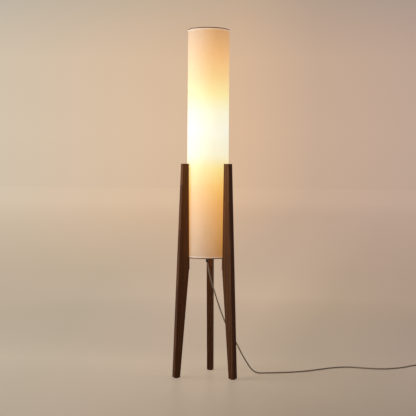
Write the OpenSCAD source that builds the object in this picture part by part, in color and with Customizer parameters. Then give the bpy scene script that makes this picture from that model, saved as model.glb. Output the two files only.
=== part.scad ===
// Floor lamp: a tall fabric cylinder held between three board legs.
// Frame: millimetres, +Z up, the floor at z = 0, the lamp's axis at x = y = 0, the rear leg on +Y.

/* [Shade] */
// Height of the shade's top above the floor
lamp_h = 1300; // [1100:10:1500]
// Length of the shade from ring to ring
shade_len = 854; // [700:2:950]
// Outside diameter over the hem tapes
shade_d = 156; // [140:1:180]
// Wire diameter of the two end rings
ring_wire = 3.2; // [2.4:0.1:4]
// Thickness of the stiff liner
liner_t = 0.7; // [0.5:0.1:1.2]
// Thickness of the fabric
fabric_t = 0.6; // [0.4:0.1:1]
// Thickness of the hem tapes and of the lap seam
hem_t = 0.35; // [0.25:0.05:0.6]
// Height of each hem tape
hem_w = 5.4; // [4:0.2:10]
// Width of the lap seam
seam_w = 12; // [8:1:20]

/* [Legs] */
// Height of the legs' flat tops
leg_top = 798; // [740:1:860]
// Thickness of the leg boards
leg_t = 24; // [20:0.5:28]
// Width of a leg at its top, measured away from the axis
leg_top_w = 23; // [19:0.5:28]
// Width of a leg at its foot
foot_w = 23.5; // [20:0.5:28]
// How far out from the shade's side the middle of each foot stands
foot_splay = 44.3; // [37:0.1:72]
// How far the elbow lies below the shade
elbow_drop = 40.5; // [30:0.5:60]
// Step in the inner edge just below the elbow
elbow_step = 1.8; // [0.5:0.1:3]
// How far the legs reach in under the shade's rim, which rests on them
rim_rest = 2.2; // [1:0.1:3]
// Gap between a leg and the shade at the shade's bottom
leg_rim_gap = 0.2; // [0.1:0.05:0.4]
// Gap between a leg and the shade at the leg's top
leg_top_gap = 3.6; // [2.5:0.1:8]
// Rounding of the boards' long edges
leg_edge_r = 2; // [1:0.5:5]

/* [Glides] */
// Diameter of the round glides
glide_d = 18; // [14:0.5:19]
// Height of the glides
glide_h = 3; // [2:0.5:5]
// Diameter of the glide nails
nail_d = 2.4; // [2:0.1:3]
// Length of the glide nails inside the leg
nail_len = 14; // [10:1:20]

/* [Leg fixings] */
// Height of the lower screws above the shade's bottom
fix_rise = 36; // [30:1:60]
// How far the upper screws lie below the leg tops
fix_drop = 22; // [16:1:26]
// Thread diameter of the leg screws
screw_d = 5; // [4:0.5:6]
// Head diameter of the leg screws
screw_head_d = 9.5; // [8.5:0.5:11]
// Head height of the leg screws
screw_head_h = 2.7; // [2:0.1:3.5]
// Length of the lower screws under their heads
screw_low_len = 16; // [14:1:20]
// Length of the upper screws under their heads
screw_high_len = 20; // [18:1:23]
// Outside diameter of the threaded inserts
insert_d = 8; // [7.5:0.5:9]
// Length of the threaded inserts
insert_len = 11; // [9:1:12]
// Outside diameter of the spacers between legs and shade
spacer_d = 12; // [10:0.5:14]

/* [Brackets] */
// Thickness of the bracket plates
plate_t = 2.5; // [2:0.5:4]
// Width of the bracket arms
arm_w = 16; // [12:1:20]
// Diameter of the bracket hubs
hub_d = 44; // [34:1:56]
// Thickness of the tabs that follow the shade's wall
tab_t = 2; // [1.5:0.5:3]
// Length of the tabs from the plate's outer face to their tips
tab_len = 25; // [23:1:30]
// Distance from the plate's outer face to the screw holes
tab_hole = 16; // [13:1:18]

/* [Stem] */
// Outside diameter of the stem tube
stem_d = 10; // [9.5:0.5:12]
// Bore of the stem tube
stem_bore = 8; // [7.6:0.1:8.5]
// How far the stem reaches below the shade
stem_drop = 6; // [3:0.5:9]
// Width across the flats of the stem nuts
nut_af = 17; // [14:1:19]
// Height of the stem nuts
nut_h = 4; // [3:0.5:6]
// Outside diameter of the stem washers
washer_d = 21; // [18:1:28]
// Thickness of the stem washers
washer_t = 1; // [0.8:0.1:1.6]

/* [Cord grip] */
// Diameter of the grip's head under the stem
grip_d = 11.4; // [10.5:0.1:14]
// Diameter of the grip at its tip
grip_tip_d = 9.6; // [7.5:0.1:10.4]
// Height of the grip's head
grip_head_h = 11; // [8:0.5:16]
// Length of the grip inside the stem
grip_spigot = 18; // [12:1:30]

/* [Lampholder] */
// Outside diameter of the lampholder
holder_d = 38; // [36:0.5:44]
// Height of the lampholder above the upper bracket
holder_lift = 30; // [14:1:50]
// Height of the lampholder's cap
holder_cap_h = 20; // [18:1:24]
// Height of the lampholder's body
holder_body_h = 38; // [36:1:44]
// Wall of the cap and the body
holder_wall = 2; // [1.5:0.1:2.4]
// Height of the insulating insert
insert_h = 10; // [8:0.5:11]
// How far the stem goes into the lampholder
stem_engage = 12; // [9:1:14]

/* [Bulb] */
// Diameter of the glass bulb
bulb_d = 60; // [50:1:64]
// Length of the bulb with its screw shell
bulb_len = 108; // [100:1:120]
// Diameter of the bulb's screw shell
bulb_cap_d = 26.6; // [26:0.1:27]
// Height of the bulb's screw shell
bulb_cap_h = 23; // [20:0.5:24]
// Thickness of the glass
glass_t = 0.9; // [0.6:0.1:1.5]
// Diameter of the light filaments
filament_d = 1.8; // [1.2:0.1:2.4]
// Length of the light filaments
filament_len = 34; // [26:1:38]

/* [Cord] */
// Diameter of the cord
cord_d = 5.3; // [4.5:0.1:6.2]
// Diameter of each core inside the cord
core_d = 1.9; // [1.4:0.1:2.2]
// Turns in the coil, a whole number and a half
coil_turns = 3.5; // [2.5:1:4.5]
// Radius of the coil's outer turn
coil_r = 34; // [32:1:42]
// Least gap between neighbouring turns
coil_gap = 0.5; // [0.45:0.05:1]
// Width of the coil's tie
tie_w = 9; // [6:1:14]
// Thickness of the coil's tie
tie_t = 0.8; // [0.6:0.1:1.2]

/* [Foot switch] */
// Length of the foot switch
switch_len = 70; // [66:1:90]
// Width of the foot switch
switch_w = 34; // [32:1:44]
// Height of the switch's base
switch_base_h = 8; // [7.6:0.1:9]
// Height of the switch's cover
switch_cover_h = 9; // [8.6:0.1:11]
// Wall of the switch's base and cover
switch_wall = 2; // [1.6:0.1:2.4]
// Radius of the switch's corners
switch_corner = 9; // [6:0.5:12]
// Diameter of the button
button_d = 24; // [18:0.5:25]
// How far the button stands above the cover
button_rise = 3.6; // [3.2:0.1:5]
// Travel of the button
button_travel = 3; // [2:0.1:3]
// Gap round the button
button_gap = 0.3; // [0.2:0.05:0.5]
// Wire diameter of the button's spring
spring_wire = 0.8; // [0.6:0.05:0.9]
// Number of curls in the spring
spring_curls = 5; // [4:1:5]
// Length of the strain reliefs on the switch and the plug
relief_len = 24; // [20:1:40]
// Diameter of a strain relief at its root
relief_root_d = 9; // [8.4:0.1:10]
// Diameter of a strain relief at its tip
relief_tip_d = 6.6; // [6.4:0.1:8]

/* [Plug] */
// Length of the plug's body
plug_len = 36; // [32:1:44]
// Width of the plug's body at the pins
plug_w = 35.4; // [33:0.2:40]
// Thickness of the plug's body
plug_t = 16; // [14:0.5:18]
// Distance between the two pins
pin_spacing = 19; // [17.5:0.5:20]
// Diameter of the pins
pin_d = 4; // [3.8:0.1:4.8]
// Length of the pins outside the body
pin_len = 19; // [16:0.5:22]
// Length of the insulating sleeves on the pins
sleeve_len = 10; // [6:0.5:12]

/* [Hidden] */

// Clearance between faces that rest on each other
seat = 0.1;
// Clearance round a pin, screw or wire in its hole
slip = 0.05;
// Small overlap that lets a cut run past the face it opens
past = 1;
rear_az = 90;
left_az = 210;
right_az = 330;
leg_azimuths = [rear_az, left_az, right_az];

shade_r = shade_d / 2;
shade_bottom = lamp_h - shade_len;
fabric_r = shade_r - hem_t;
liner_r = fabric_r - fabric_t - slip;
liner_in_r = liner_r - liner_t;
skin_bottom = shade_bottom + ring_wire + seat;
skin_top = lamp_h - ring_wire - seat;
ring_r = shade_r - ring_wire / 2;
// The lap seam faces backwards, between two legs
seam_az = 130;

fix_low = shade_bottom + fix_rise;
fix_high = leg_top - fix_drop;

// Distance of a leg's inner edge from the axis, beside the shade
function inner_edge(z) =
    shade_r + leg_rim_gap
    + (z - shade_bottom) * (leg_top_gap - leg_rim_gap) / (leg_top - shade_bottom);
elbow_z = shade_bottom - elbow_drop;
// Height of the ledges that the shade rests on
rest_z = shade_bottom - seat;
leg_out_top = inner_edge(leg_top) + leg_top_w;
foot_circle_r = shade_r + foot_splay;
leg_out_foot = foot_circle_r + foot_w / 2;
leg_in_foot = foot_circle_r - foot_w / 2;

tab_r = liner_in_r - seat;
tab_in_r = tab_r - tab_t;
low_plate_z = fix_low - tab_hole;
high_plate_z = fix_high + tab_hole;

stem_bottom = shade_bottom - stem_drop;
holder_z = high_plate_z + holder_lift;
stem_top = holder_z + stem_engage;
grip_z = stem_bottom - grip_head_h;

holder_body_z = holder_z + holder_cap_h + seat;
insert_z = holder_body_z + seat;
insert_top = insert_z + insert_h;
thread_gap = 0.3;
shell_t = 0.6;
shell_in_r = bulb_cap_d / 2 + thread_gap;
holder_rim = holder_body_z + holder_body_h;
contact_h = 1.5;
tip_z = insert_top + contact_h + seat;
tip_h = 3;
tip_d = 9;
cap_z = tip_z + tip_h;
cap_top = cap_z + bulb_cap_h;
globe_r = bulb_d / 2;
globe_z = tip_z + bulb_len - globe_r;
neck_r = bulb_cap_d / 2 - shell_t - seat;
bulb_stem_top = globe_z - filament_len / 2 - 4;

cord_r = cord_d / 2;
relief_axis_z = switch_wall + seat + relief_root_d / 2;
plug_axis_z = plug_t / 2;

// Route of the free cord from the grip to the foot switch. Each point is [x, y, height of the
// cord's underside above the floor]: down behind the right leg, then across the floor.
route = [
    [5, 2, 404], [8, 3, 385], [15.5, 5.5, 355], [26, 9.5, 319], [44.5, 16.5, 259],
    [66.5, 24.5, 199], [88, 32.5, 155], [110, 40.5, 115], [130.5, 48, 73], [153, 56.5, 34],
    [164, 60.5, 18], [177, 65.5, 6], [190, 70, 1], [206, 75, 0], [243, 84, 0], [288, 99, 0], [333, 118, 0],
    [379, 147, 0], [424, 188, 0], [470, 227, 0], [516, 251, 0], [547, 254, 0], [588, 245, 0],
    [635, 235, 0], [682, 240, 0], [728, 265, 0], [756, 289, 0], [780, 318, 0], [803, 341, 0],
    [818, 351, 0], [835, 355, 0], [852, 352, 0], [866, 342, 0.4], [876, 328, 1.8],
];
// Where the free cord meets the foot switch's strain relief, heading towards -Y
route_end = [880, 305];
free_points = concat(
    [[0, 0, grip_z], [0, 0, grip_z - cord_d]],
    [for (p = route) [p[0], p[1], p[2] + cord_r]],
    [[route_end[0], route_end[1] + cord_d, relief_axis_z], [route_end[0], route_end[1], relief_axis_z]]
);

switch_x = route_end[0];
switch_y = route_end[1] - relief_len - switch_len / 2;
switch_exit_y = switch_y - switch_len / 2 - relief_len;
split_z = switch_base_h;
switch_top = switch_base_h + switch_cover_h;
flange_r = button_d / 2 + 1.5;
flange_t = 2;
flange_z = switch_top - switch_wall - button_gap - flange_t;
block_top = flange_z - button_travel - 1.1;
spring_top = switch_top - 0.2;
spring_r = 4.6;
boss_x = switch_w / 2 - switch_wall - 4;
boss_y = switch_len / 2 - switch_wall - 9;
boss_r = 3;

// The coil starts where its lead meets the outer turn, and ends half a turn round from there
lead_len = 27;
tail_len = 18;
coil_x = switch_x + coil_r;
coil_y = switch_exit_y - lead_len;
turn_pitch = cord_d + coil_gap;
coil_low_z = tie_t + seat + cord_r;
coil_in_r = coil_r - turn_pitch * coil_turns / 2;
plug_x = coil_x + coil_r;
plug_tip_y = coil_y + tail_len;
plug_y = plug_tip_y + relief_len;

// Vectors and swept tubes

function unit(v) = v / norm(v);
function ease(t) = t <= 0 ? 0 : t >= 1 ? 1 : t * t * (3 - 2 * t);
function last(list) = list[len(list) - 1];

// Point at t on the smooth curve from b to c, with a and d as its neighbours
function spline(a, b, c, d, t) =
    0.5 * (2 * b + (c - a) * t + (2 * a - 5 * b + 4 * c - d) * t * t
    + (3 * b - a - 3 * c + d) * t * t * t);
// Smooth curve through the points, cut into steps of about the given length
function smooth(points, step) = concat(
    [for (i = [0 : len(points) - 2])
        let (
            b = points[i], c = points[i + 1],
            a = i == 0 ? 2 * b - c : points[i - 1],
            d = i == len(points) - 2 ? 2 * c - b : points[i + 2],
            n = max(1, round(norm(c - b) / step))
        )
        for (k = [0 : n - 1]) spline(a, b, c, d, k / n)],
    [last(points)]
);
function tangent(path, i) =
    unit(path[min(i + 1, len(path) - 1)] - path[max(i - 1, 0)]);
function ring_of(centre, along, ref, r, sides) =
    let (a = unit(cross(along, ref)), b = cross(along, a))
    [for (k = [0 : sides - 1]) centre + r * (cos(360 * k / sides) * a + sin(360 * k / sides) * b)];

// Closed tube round a path; ref is a direction that the path never runs along
module tube(path, r, sides, ref) {
    rings = len(path);
    points = [for (i = [0 : rings - 1]) each ring_of(path[i], tangent(path, i), ref, r, sides)];
    walls = [for (i = [0 : rings - 2], k = [0 : sides - 1])
        let (a = i * sides + k, b = i * sides + (k + 1) % sides)
        each [[a, b, b + sides], [a, b + sides, a + sides]]];
    caps = [for (k = [1 : sides - 2])
        each [[0, k + 1, k], [(rings - 1) * sides, (rings - 1) * sides + k, (rings - 1) * sides + k + 1]]];
    polyhedron(points = points, faces = concat(walls, caps), convexity = 12);
}

// The cord lies on the floor and never under it
free_path = [for (p = smooth(free_points, 3 * cord_d)) [p[0], p[1], max(p[2], cord_r)]];
// The coil's path: in on the lower layer, up in the half turn where it turns back, out on the
// upper layer, with a straight lead from the switch and a straight tail to the plug
function coil_point(turn) =
    let (
        from_middle = turn - coil_turns / 2,
        r = coil_in_r + turn_pitch * abs(from_middle),
        angle = 180 + 360 * turn,
        z = coil_low_z + turn_pitch * ease(from_middle * 2 + 0.5)
    )
    [coil_x + r * cos(angle), coil_y + r * sin(angle), z];
coil_rings = 24;
coil_path = concat(
    [
        [switch_x, switch_exit_y, relief_axis_z],
        [switch_x, switch_exit_y - cord_d, relief_axis_z],
        [switch_x, switch_exit_y - lead_len * 0.45, (relief_axis_z * 2 + coil_low_z) / 3],
        [switch_x, switch_exit_y - lead_len * 0.75, coil_low_z],
    ],
    [for (i = [0 : coil_rings * coil_turns]) coil_point(i / coil_rings)],
    [
        [plug_x, plug_tip_y - cord_d * 2, (plug_axis_z + coil_low_z + turn_pitch) / 2],
        [plug_x, plug_tip_y - cord_d, plug_axis_z],
        [plug_x, plug_tip_y, plug_axis_z],
    ]
);
turns_only = [for (i = [0 : coil_rings * coil_turns]) coil_point(i / coil_rings)];
least_gap = min([for (i = [0 : len(turns_only) - 1], j = [i + coil_rings / 2 : len(turns_only) - 1])
    norm(turns_only[i] - turns_only[j])]) - cord_d;
function path_length(path) =
    [for (i = 0, s = 0; i < len(path); s = s + (i < len(path) - 1 ? norm(path[i + 1] - path[i]) : 0), i = i + 1) s];
echo("least gap in the coil", least_gap);
echo("free cord", last(path_length(free_path)), "coil", last(path_length(coil_path)), "rings", len(free_path));

// Shared shapes

module on_legs() for (a = leg_azimuths) rotate([0, 0, a]) children();
// Turns +Z to point away from the axis along +X
module outward() rotate([0, 90, 0]) children();
module tube_z(od, id, h) difference() {
    cylinder(d = od, h = h, $fn = 64);
    translate([0, 0, -past]) cylinder(d = id, h = h + 2 * past, $fn = 64);
}
// Rectangle with round corners, centred
module round_rect(w, l, r) {
    square([w - 2 * r, l], center = true);
    square([w, l - 2 * r], center = true);
    for (x = [-1, 1], y = [-1, 1])
        translate([x * (w / 2 - r), y * (l / 2 - r)]) circle(r = r, $fn = 48);
}

// Legs

// Slab with its rounded edge along the line from low to high, each [distance from axis, height]
module edge_slab(low, high, side) {
    slab_w = 90;
    reach = 60;
    lean = atan2(high[0] - low[0], high[1] - low[1]);
    length = norm(high - low);
    translate([low[0], 0, low[1]]) rotate([0, lean, 0]) translate([0, 0, -reach])
        linear_extrude(height = length + 2 * reach) scale([side, 1]) {
            translate([leg_edge_r, -leg_t / 2]) square([slab_w, leg_t]);
            translate([0, leg_edge_r - leg_t / 2]) square([slab_w, leg_t - 2 * leg_edge_r]);
            for (y = [-1, 1]) translate([leg_edge_r, y * (leg_t / 2 - leg_edge_r)])
                circle(r = leg_edge_r, $fn = 32);
        }
}
module height_band(low, high) translate([0, -leg_t, low]) cube([400, 2 * leg_t, high - low]);

module leg_blank() intersection() {
    edge_slab([leg_out_foot, glide_h], [leg_out_top, leg_top], -1);
    union() {
        intersection() {
            edge_slab([inner_edge(rest_z), rest_z], [inner_edge(leg_top), leg_top], 1);
            height_band(rest_z, leg_top);
        }
        intersection() {
            edge_slab([inner_edge(elbow_z) - rim_rest, elbow_z], [inner_edge(rest_z) - rim_rest, rest_z], 1);
            height_band(elbow_z, rest_z);
        }
        intersection() {
            edge_slab([leg_in_foot, glide_h], [inner_edge(elbow_z) - rim_rest + elbow_step, elbow_z], 1);
            height_band(glide_h, elbow_z);
        }
    }
}
insert_recess = 0.4;
module insert_hole(z) translate([inner_edge(z) - 3, 0, z]) outward()
    cylinder(d = insert_d + 2 * slip, h = 3 + insert_recess + insert_len + 2, $fn = 48);
module leg() color("#4a2f1f") difference() {
    leg_blank();
    insert_hole(fix_low);
    insert_hole(fix_high);
    translate([foot_circle_r, 0, glide_h - past])
        cylinder(d = nail_d + 2 * slip, h = nail_len + past + 1, $fn = 32);
}
module leg_left() rotate([0, 0, left_az]) leg();
module leg_right() rotate([0, 0, right_az]) leg();
module leg_rear() rotate([0, 0, rear_az]) leg();

glide_edge = 0.4;
// How deep the nails are set in the glides
nail_root = glide_h / 3;
module glide() color("#1e1b19") translate([foot_circle_r, 0, 0]) difference() {
    union() {
        translate([0, 0, glide_edge]) cylinder(d = glide_d, h = glide_h - glide_edge, $fn = 64);
        cylinder(d1 = glide_d - 2 * glide_edge, d2 = glide_d, h = glide_edge, $fn = 64);
    }
    translate([0, 0, glide_h - nail_root]) cylinder(d = nail_d + 2 * slip, h = nail_root + past, $fn = 32);
}
module glide_left() rotate([0, 0, left_az]) glide();
module glide_right() rotate([0, 0, right_az]) glide();
module glide_rear() rotate([0, 0, rear_az]) glide();
module glide_nails() color("#9b9b9b") on_legs() translate([foot_circle_r, 0, glide_h - nail_root + slip])
    cylinder(d = nail_d, h = nail_root + nail_len - slip, $fn = 32);

// Leg fixings, each drawn along +X at the height of its screw

module insert_at(z) translate([inner_edge(z) + insert_recess, 0, z]) outward()
    tube_z(insert_d, screw_d + 2 * slip, insert_len);
// A head's rim meets the curved tab first
head_seat = sqrt(tab_in_r ^ 2 - (screw_head_d / 2) ^ 2) - slip;
module screw_at(z, length) translate([head_seat, 0, z]) outward() {
    translate([0, 0, -slip]) cylinder(d = screw_d, h = length + slip, $fn = 48);
    difference() {
        translate([0, 0, -screw_head_h]) cylinder(d = screw_head_d, h = screw_head_h, $fn = 48);
        translate([0, 0, -screw_head_h - past]) cylinder(d = screw_d * 0.64, h = screw_head_h * 0.6 + past, $fn = 6);
    }
}
module spacer_at(z) translate([shade_r + seat, 0, z]) outward()
    tube_z(spacer_d, screw_d + 2 * slip, inner_edge(z - spacer_d / 2) - shade_r - 2 * seat);
// Holes for the six leg screws through a wall round the axis
module screw_holes(z) on_legs() translate([0, 0, z]) outward()
    cylinder(d = screw_d + 0.4, h = shade_r + past, $fn = 48);

module leg_inserts() color("#b3914a") on_legs() { insert_at(fix_low); insert_at(fix_high); }
module lower_screws() color("#8d9096") on_legs() screw_at(fix_low, screw_low_len);
module upper_screws() color("#8d9096") on_legs() screw_at(fix_high, screw_high_len);
module lower_washers() color("#cec7b6") on_legs() spacer_at(fix_low);
module upper_spacers() color("#cec7b6") on_legs() spacer_at(fix_high);

// Brackets: a flat spider whose tabs turn up along the shade's wall

module bracket() color("#d8d6d0") difference() {
    intersection() {
        rotate_extrude($fn = 128) polygon([
            [stem_d / 2 + slip, 0], [tab_r, 0], [tab_r, tab_len], [tab_in_r, tab_len],
            [tab_in_r, plate_t], [stem_d / 2 + slip, plate_t],
        ]);
        union() {
            translate([0, 0, -past]) cylinder(d = hub_d, h = plate_t + 2 * past, $fn = 96);
            on_legs() translate([0, -arm_w / 2, -past]) cube([shade_r, arm_w, tab_len + 2 * past]);
        }
    }
    screw_holes(tab_hole);
}
module lower_bracket() translate([0, 0, low_plate_z]) bracket();
module upper_bracket() translate([0, 0, high_plate_z]) mirror([0, 0, 1]) bracket();

// Stem, nuts and cord grip

module stem() color("#c9c7c2") translate([0, 0, stem_bottom])
    tube_z(stem_d, stem_bore, stem_top - stem_bottom);
module nut() difference() {
    cylinder(d = nut_af / cos(30), h = nut_h, $fn = 6);
    translate([0, 0, -past]) cylinder(d = stem_d + 2 * slip, h = nut_h + 2 * past, $fn = 64);
}
// Nut and washer heights on a plate whose lower face is at z
below_z = function (z) z - washer_t;
above_z = function (z) z + plate_t;
plate_levels = [low_plate_z, high_plate_z - plate_t];
module stem_nuts() color("#b9b9b9") {
    for (z = plate_levels) {
        translate([0, 0, below_z(z) - nut_h]) nut();
        translate([0, 0, above_z(z) + washer_t]) nut();
    }
    translate([0, 0, holder_z - nut_h]) nut();
}
module stem_washers() color("#a9a9a9") for (z = plate_levels) {
    translate([0, 0, below_z(z)]) tube_z(washer_d, stem_d + 2 * slip, washer_t);
    translate([0, 0, above_z(z)]) tube_z(washer_d, stem_d + 2 * slip, washer_t);
}
module cord_grip() color("#191919") difference() {
    union() {
        translate([0, 0, grip_z]) cylinder(d1 = grip_tip_d, d2 = grip_d, h = grip_head_h, $fn = 64);
        translate([0, 0, stem_bottom - slip])
            cylinder(d = stem_bore - 2 * slip, h = grip_spigot + slip, $fn = 64);
    }
    translate([0, 0, grip_z - past])
        cylinder(d = cord_d + 2 * slip, h = grip_head_h + grip_spigot + 2 * past, $fn = 48);
}

lead_top = stem_top + 1;
module inner_lead() color("#a8927c") translate([0, 0, grip_z]) cylinder(d = cord_d, h = lead_top - grip_z, $fn = 48);
core_x = 1.3;
module lead_cores() color("#7a4a2a") for (x = [-core_x, core_x])
    translate([x, 0, lead_top]) cylinder(d = core_d, h = insert_z - lead_top - slip, $fn = 24);

// Lampholder

module holder_cap() color("#1d1c1b") translate([0, 0, holder_z]) rotate_extrude($fn = 96) {
    r = holder_d / 2;
    polygon([
        [stem_d / 2 + slip, 0], [r - 8, 0], [r - 3, 2], [r, 7], [r, holder_cap_h],
        [r - holder_wall, holder_cap_h], [r - holder_wall, 8], [r - 5, 4], [r - 9, 3],
        [stem_d / 2 + 3, 3], [stem_d / 2 + 3, stem_engage - 2], [stem_d / 2 + slip, stem_engage - 2],
    ]);
}
module holder_body() color("#1d1c1b") translate([0, 0, holder_body_z]) rotate_extrude($fn = 96) {
    r = holder_d / 2;
    polygon([
        [r - holder_wall, 0], [r, 0], [r, holder_body_h - 3], [r + 1.5, holder_body_h - 3],
        [r + 1.5, holder_body_h], [shell_in_r + shell_t + slip, holder_body_h],
        [shell_in_r + shell_t + slip, holder_body_h - 2], [r - holder_wall, holder_body_h - 2],
    ]);
}
module holder_insert() color("#e6e0d4") translate([0, 0, insert_z]) difference() {
    cylinder(d = holder_d - 2 * holder_wall - 2 * slip, h = insert_h, $fn = 64);
    for (x = [-core_x, core_x]) translate([x, 0, -past]) cylinder(d = core_d, h = insert_h - 1, $fn = 24);
}
module holder_shell() color("#c2a14f") translate([0, 0, insert_top + slip])
    tube_z(2 * (shell_in_r + shell_t), 2 * shell_in_r, holder_rim - insert_top - 3);
module holder_contact() color("#c2a14f") {
    translate([-4, -2.5, insert_top]) cube([14, 5, contact_h]);
}

// Bulb

module bulb_contact() color("#b8b4a8") translate([0, 0, tip_z])
    cylinder(d1 = tip_d - 3, d2 = tip_d, h = tip_h - slip, $fn = 48);
insulator_h = 3;
module bulb_insulator() color("#20242a") translate([0, 0, cap_z])
    cylinder(d1 = tip_d + 3, d2 = bulb_cap_d - 3, h = insulator_h, $fn = 64);
module bulb_shell() color("#c9c9cc") translate([0, 0, cap_z]) rotate_extrude($fn = 96)
    polygon([
        [bulb_cap_d / 2 - 1.4, insulator_h + slip], [bulb_cap_d / 2 - 0.8, 2], [bulb_cap_d / 2, 4],
        [bulb_cap_d / 2, bulb_cap_h], [bulb_cap_d / 2 - shell_t, bulb_cap_h],
        [bulb_cap_d / 2 - shell_t, 4.6],
        [bulb_cap_d / 2 - 1.6, insulator_h + 1],
    ]);
shoulder = -42;
// Radius of the glass at a height between the neck and the globe's shoulder
function glass_outline(t) =
    let (
        g = globe_r - t, n = neck_r - t,
        neck_top = [n, cap_top + 1],
        join = [g * cos(shoulder), globe_z + g * sin(shoulder)],
        bend = join + 16 * [sin(shoulder), -cos(shoulder)]
    )
    concat(
        [[n, cap_top - 7]],
        [for (k = [0 : 6]) let (u = k / 6, c = neck_top + [0, 8])
            (1 - u) ^ 3 * neck_top + 3 * (1 - u) ^ 2 * u * c + 3 * (1 - u) * u * u * bend + u ^ 3 * join],
        [for (a = [shoulder + 12 : 12 : 78]) [g * cos(a), globe_z + g * sin(a)]],
        [[0, globe_z + g]]
    );
function reversed(list) = [for (i = [len(list) - 1 : -1 : 0]) list[i]];
module bulb_glass() color("#fff3d6", 0.7) rotate_extrude($fn = 64)
    polygon(concat(glass_outline(0), reversed(glass_outline(glass_t))));
filament_circle = 7;
module bulb_stem() color("#dfe8ea", 0.6) {
    translate([0, 0, cap_top - 7]) cylinder(d1 = 2 * (neck_r - glass_t - 2 * seat), d2 = 8, h = 16, $fn = 48);
    translate([0, 0, cap_top + 9]) cylinder(d = 5, h = bulb_stem_top - cap_top - 9, $fn = 32);
    translate([0, 0, bulb_stem_top]) cylinder(d = 2 * filament_circle + 4, h = 1.5, $fn = 48);
}
module bulb_filaments() color("#ffd98a") for (a = [45 : 90 : 315]) rotate([0, 0, a])
    translate([filament_circle, 0, bulb_stem_top + 1.5]) cylinder(d = filament_d, h = filament_len, $fn = 24);

// Shade

module skin(r_out, t) difference() {
    translate([0, 0, skin_bottom]) tube_z(2 * r_out, 2 * (r_out - t), skin_top - skin_bottom);
    screw_holes(fix_low);
    screw_holes(fix_high);
}
module shade_liner() color("#f3e6cf") skin(liner_r, liner_t);
seam_angle = seam_w / fabric_r * 180 / PI;
module shade_fabric() color("#f0d3a0") {
    skin(fabric_r, fabric_t);
    rotate([0, 0, seam_az]) translate([0, 0, skin_bottom + hem_w])
        rotate_extrude(angle = seam_angle, $fn = 256) translate([fabric_r - fabric_t / 2, 0])
            square([fabric_t / 2 + hem_t, skin_top - skin_bottom - 2 * hem_w]);
}
module end_ring(z) color("#3a2c22") translate([0, 0, z])
    rotate_extrude($fn = 128) translate([ring_r, 0]) circle(d = ring_wire, $fn = 32);
module ring_top() end_ring(lamp_h - ring_wire / 2);
module ring_bottom() end_ring(shade_bottom + ring_wire / 2);
module hem(z) color("#f6e2c2") translate([0, 0, z])
    tube_z(shade_d, 2 * (fabric_r + slip / 2), hem_w - seat);
module hem_top() hem(skin_top - hem_w + seat);
module hem_bottom() hem(skin_bottom);

// Cord, coil and tie

module cord() color("#a8927c") tube(free_path, cord_r, 8, [-0.5, 0.3, 0.8]);
module cord_coil() color("#a8927c") tube(coil_path, cord_r, 6, [0, 0, 1]);
// The tie goes round the bundle at the coil's side that faces -Y. Its inner side clears the inner
// turns at the tie's edges, where they curve away towards the coil's middle.
bundle_out = coil_r - turn_pitch / 4 + cord_r + 2 * seat;
bundle_in_r = coil_r - turn_pitch * (ceil(coil_turns / 2) - 0.75) - cord_r;
tie_edge_angle = asin(tie_w / 2 / bundle_in_r);
bundle_in = (bundle_in_r - turn_pitch * tie_edge_angle / 360) * cos(tie_edge_angle) - 2 * seat;
bundle_h = 2 * cord_r + turn_pitch + 2 * seat;
module coil_tie() color("#26221f") translate([coil_x - tie_w / 2, coil_y, tie_t]) rotate([90, 0, 90])
    linear_extrude(height = tie_w) difference() {
        translate([-bundle_out - tie_t, -tie_t]) square([bundle_out - bundle_in + 2 * tie_t, bundle_h + 2 * tie_t]);
        translate([-bundle_out, 0]) square([bundle_out - bundle_in, bundle_h]);
    }

// Foot switch, drawn about its middle with its length along Y

module at_switch() translate([switch_x, switch_y, 0]) children();
module corners() for (x = [-1, 1], y = [-1, 1]) translate([x * boss_x, y * boss_y, 0]) children();
neck_d = relief_tip_d;
module relief_seats() for (s = [-1, 1]) translate([0, s * switch_len / 2, relief_axis_z])
    rotate([90, 0, 0]) cylinder(d = neck_d + 2 * seat, h = 3 * switch_wall, center = true, $fn = 48);
screw_pilot_d = 2.2;
module switch_base() color("#2a2725") at_switch() difference() {
    union() {
        difference() {
            linear_extrude(height = split_z) round_rect(switch_w, switch_len, switch_corner);
            translate([0, 0, switch_wall]) linear_extrude(height = split_z)
                round_rect(switch_w - 2 * switch_wall, switch_len - 2 * switch_wall, switch_corner - switch_wall);
        }
        corners() cylinder(r = boss_r, h = split_z, $fn = 32);
    }
    relief_seats();
    corners() {
        translate([0, 0, -past]) cylinder(d = screw_pilot_d + 2 * slip, h = split_z + 2 * past, $fn = 24);
        translate([0, 0, -past]) cylinder(d = 2 * screw_pilot_d + 4 * slip, h = past + 2, $fn = 24);
    }
}
module switch_cover() color("#2a2725") at_switch() difference() {
    union() {
        difference() {
            translate([0, 0, split_z + slip]) linear_extrude(height = switch_cover_h - slip)
                round_rect(switch_w, switch_len, switch_corner);
            translate([0, 0, split_z - past]) linear_extrude(height = switch_cover_h - switch_wall + past)
                round_rect(switch_w - 2 * switch_wall, switch_len - 2 * switch_wall, switch_corner - switch_wall);
        }
        corners() translate([0, 0, split_z + slip])
            cylinder(r = boss_r, h = switch_cover_h - switch_wall, $fn = 32);
    }
    relief_seats();
    translate([0, 0, split_z]) cylinder(r = button_d / 2 + button_gap, h = switch_cover_h + past, $fn = 96);
    corners() translate([0, 0, split_z - past]) cylinder(d = screw_pilot_d + 2 * slip, h = 6 + past, $fn = 24);
}
module switch_screws() color("#9b9b9b") at_switch() corners() {
    translate([0, 0, 0.4]) cylinder(d = 2 * screw_pilot_d, h = 1.5, $fn = 24);
    translate([0, 0, 1.9]) cylinder(d = screw_pilot_d, h = split_z + 3, $fn = 24);
}
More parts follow.
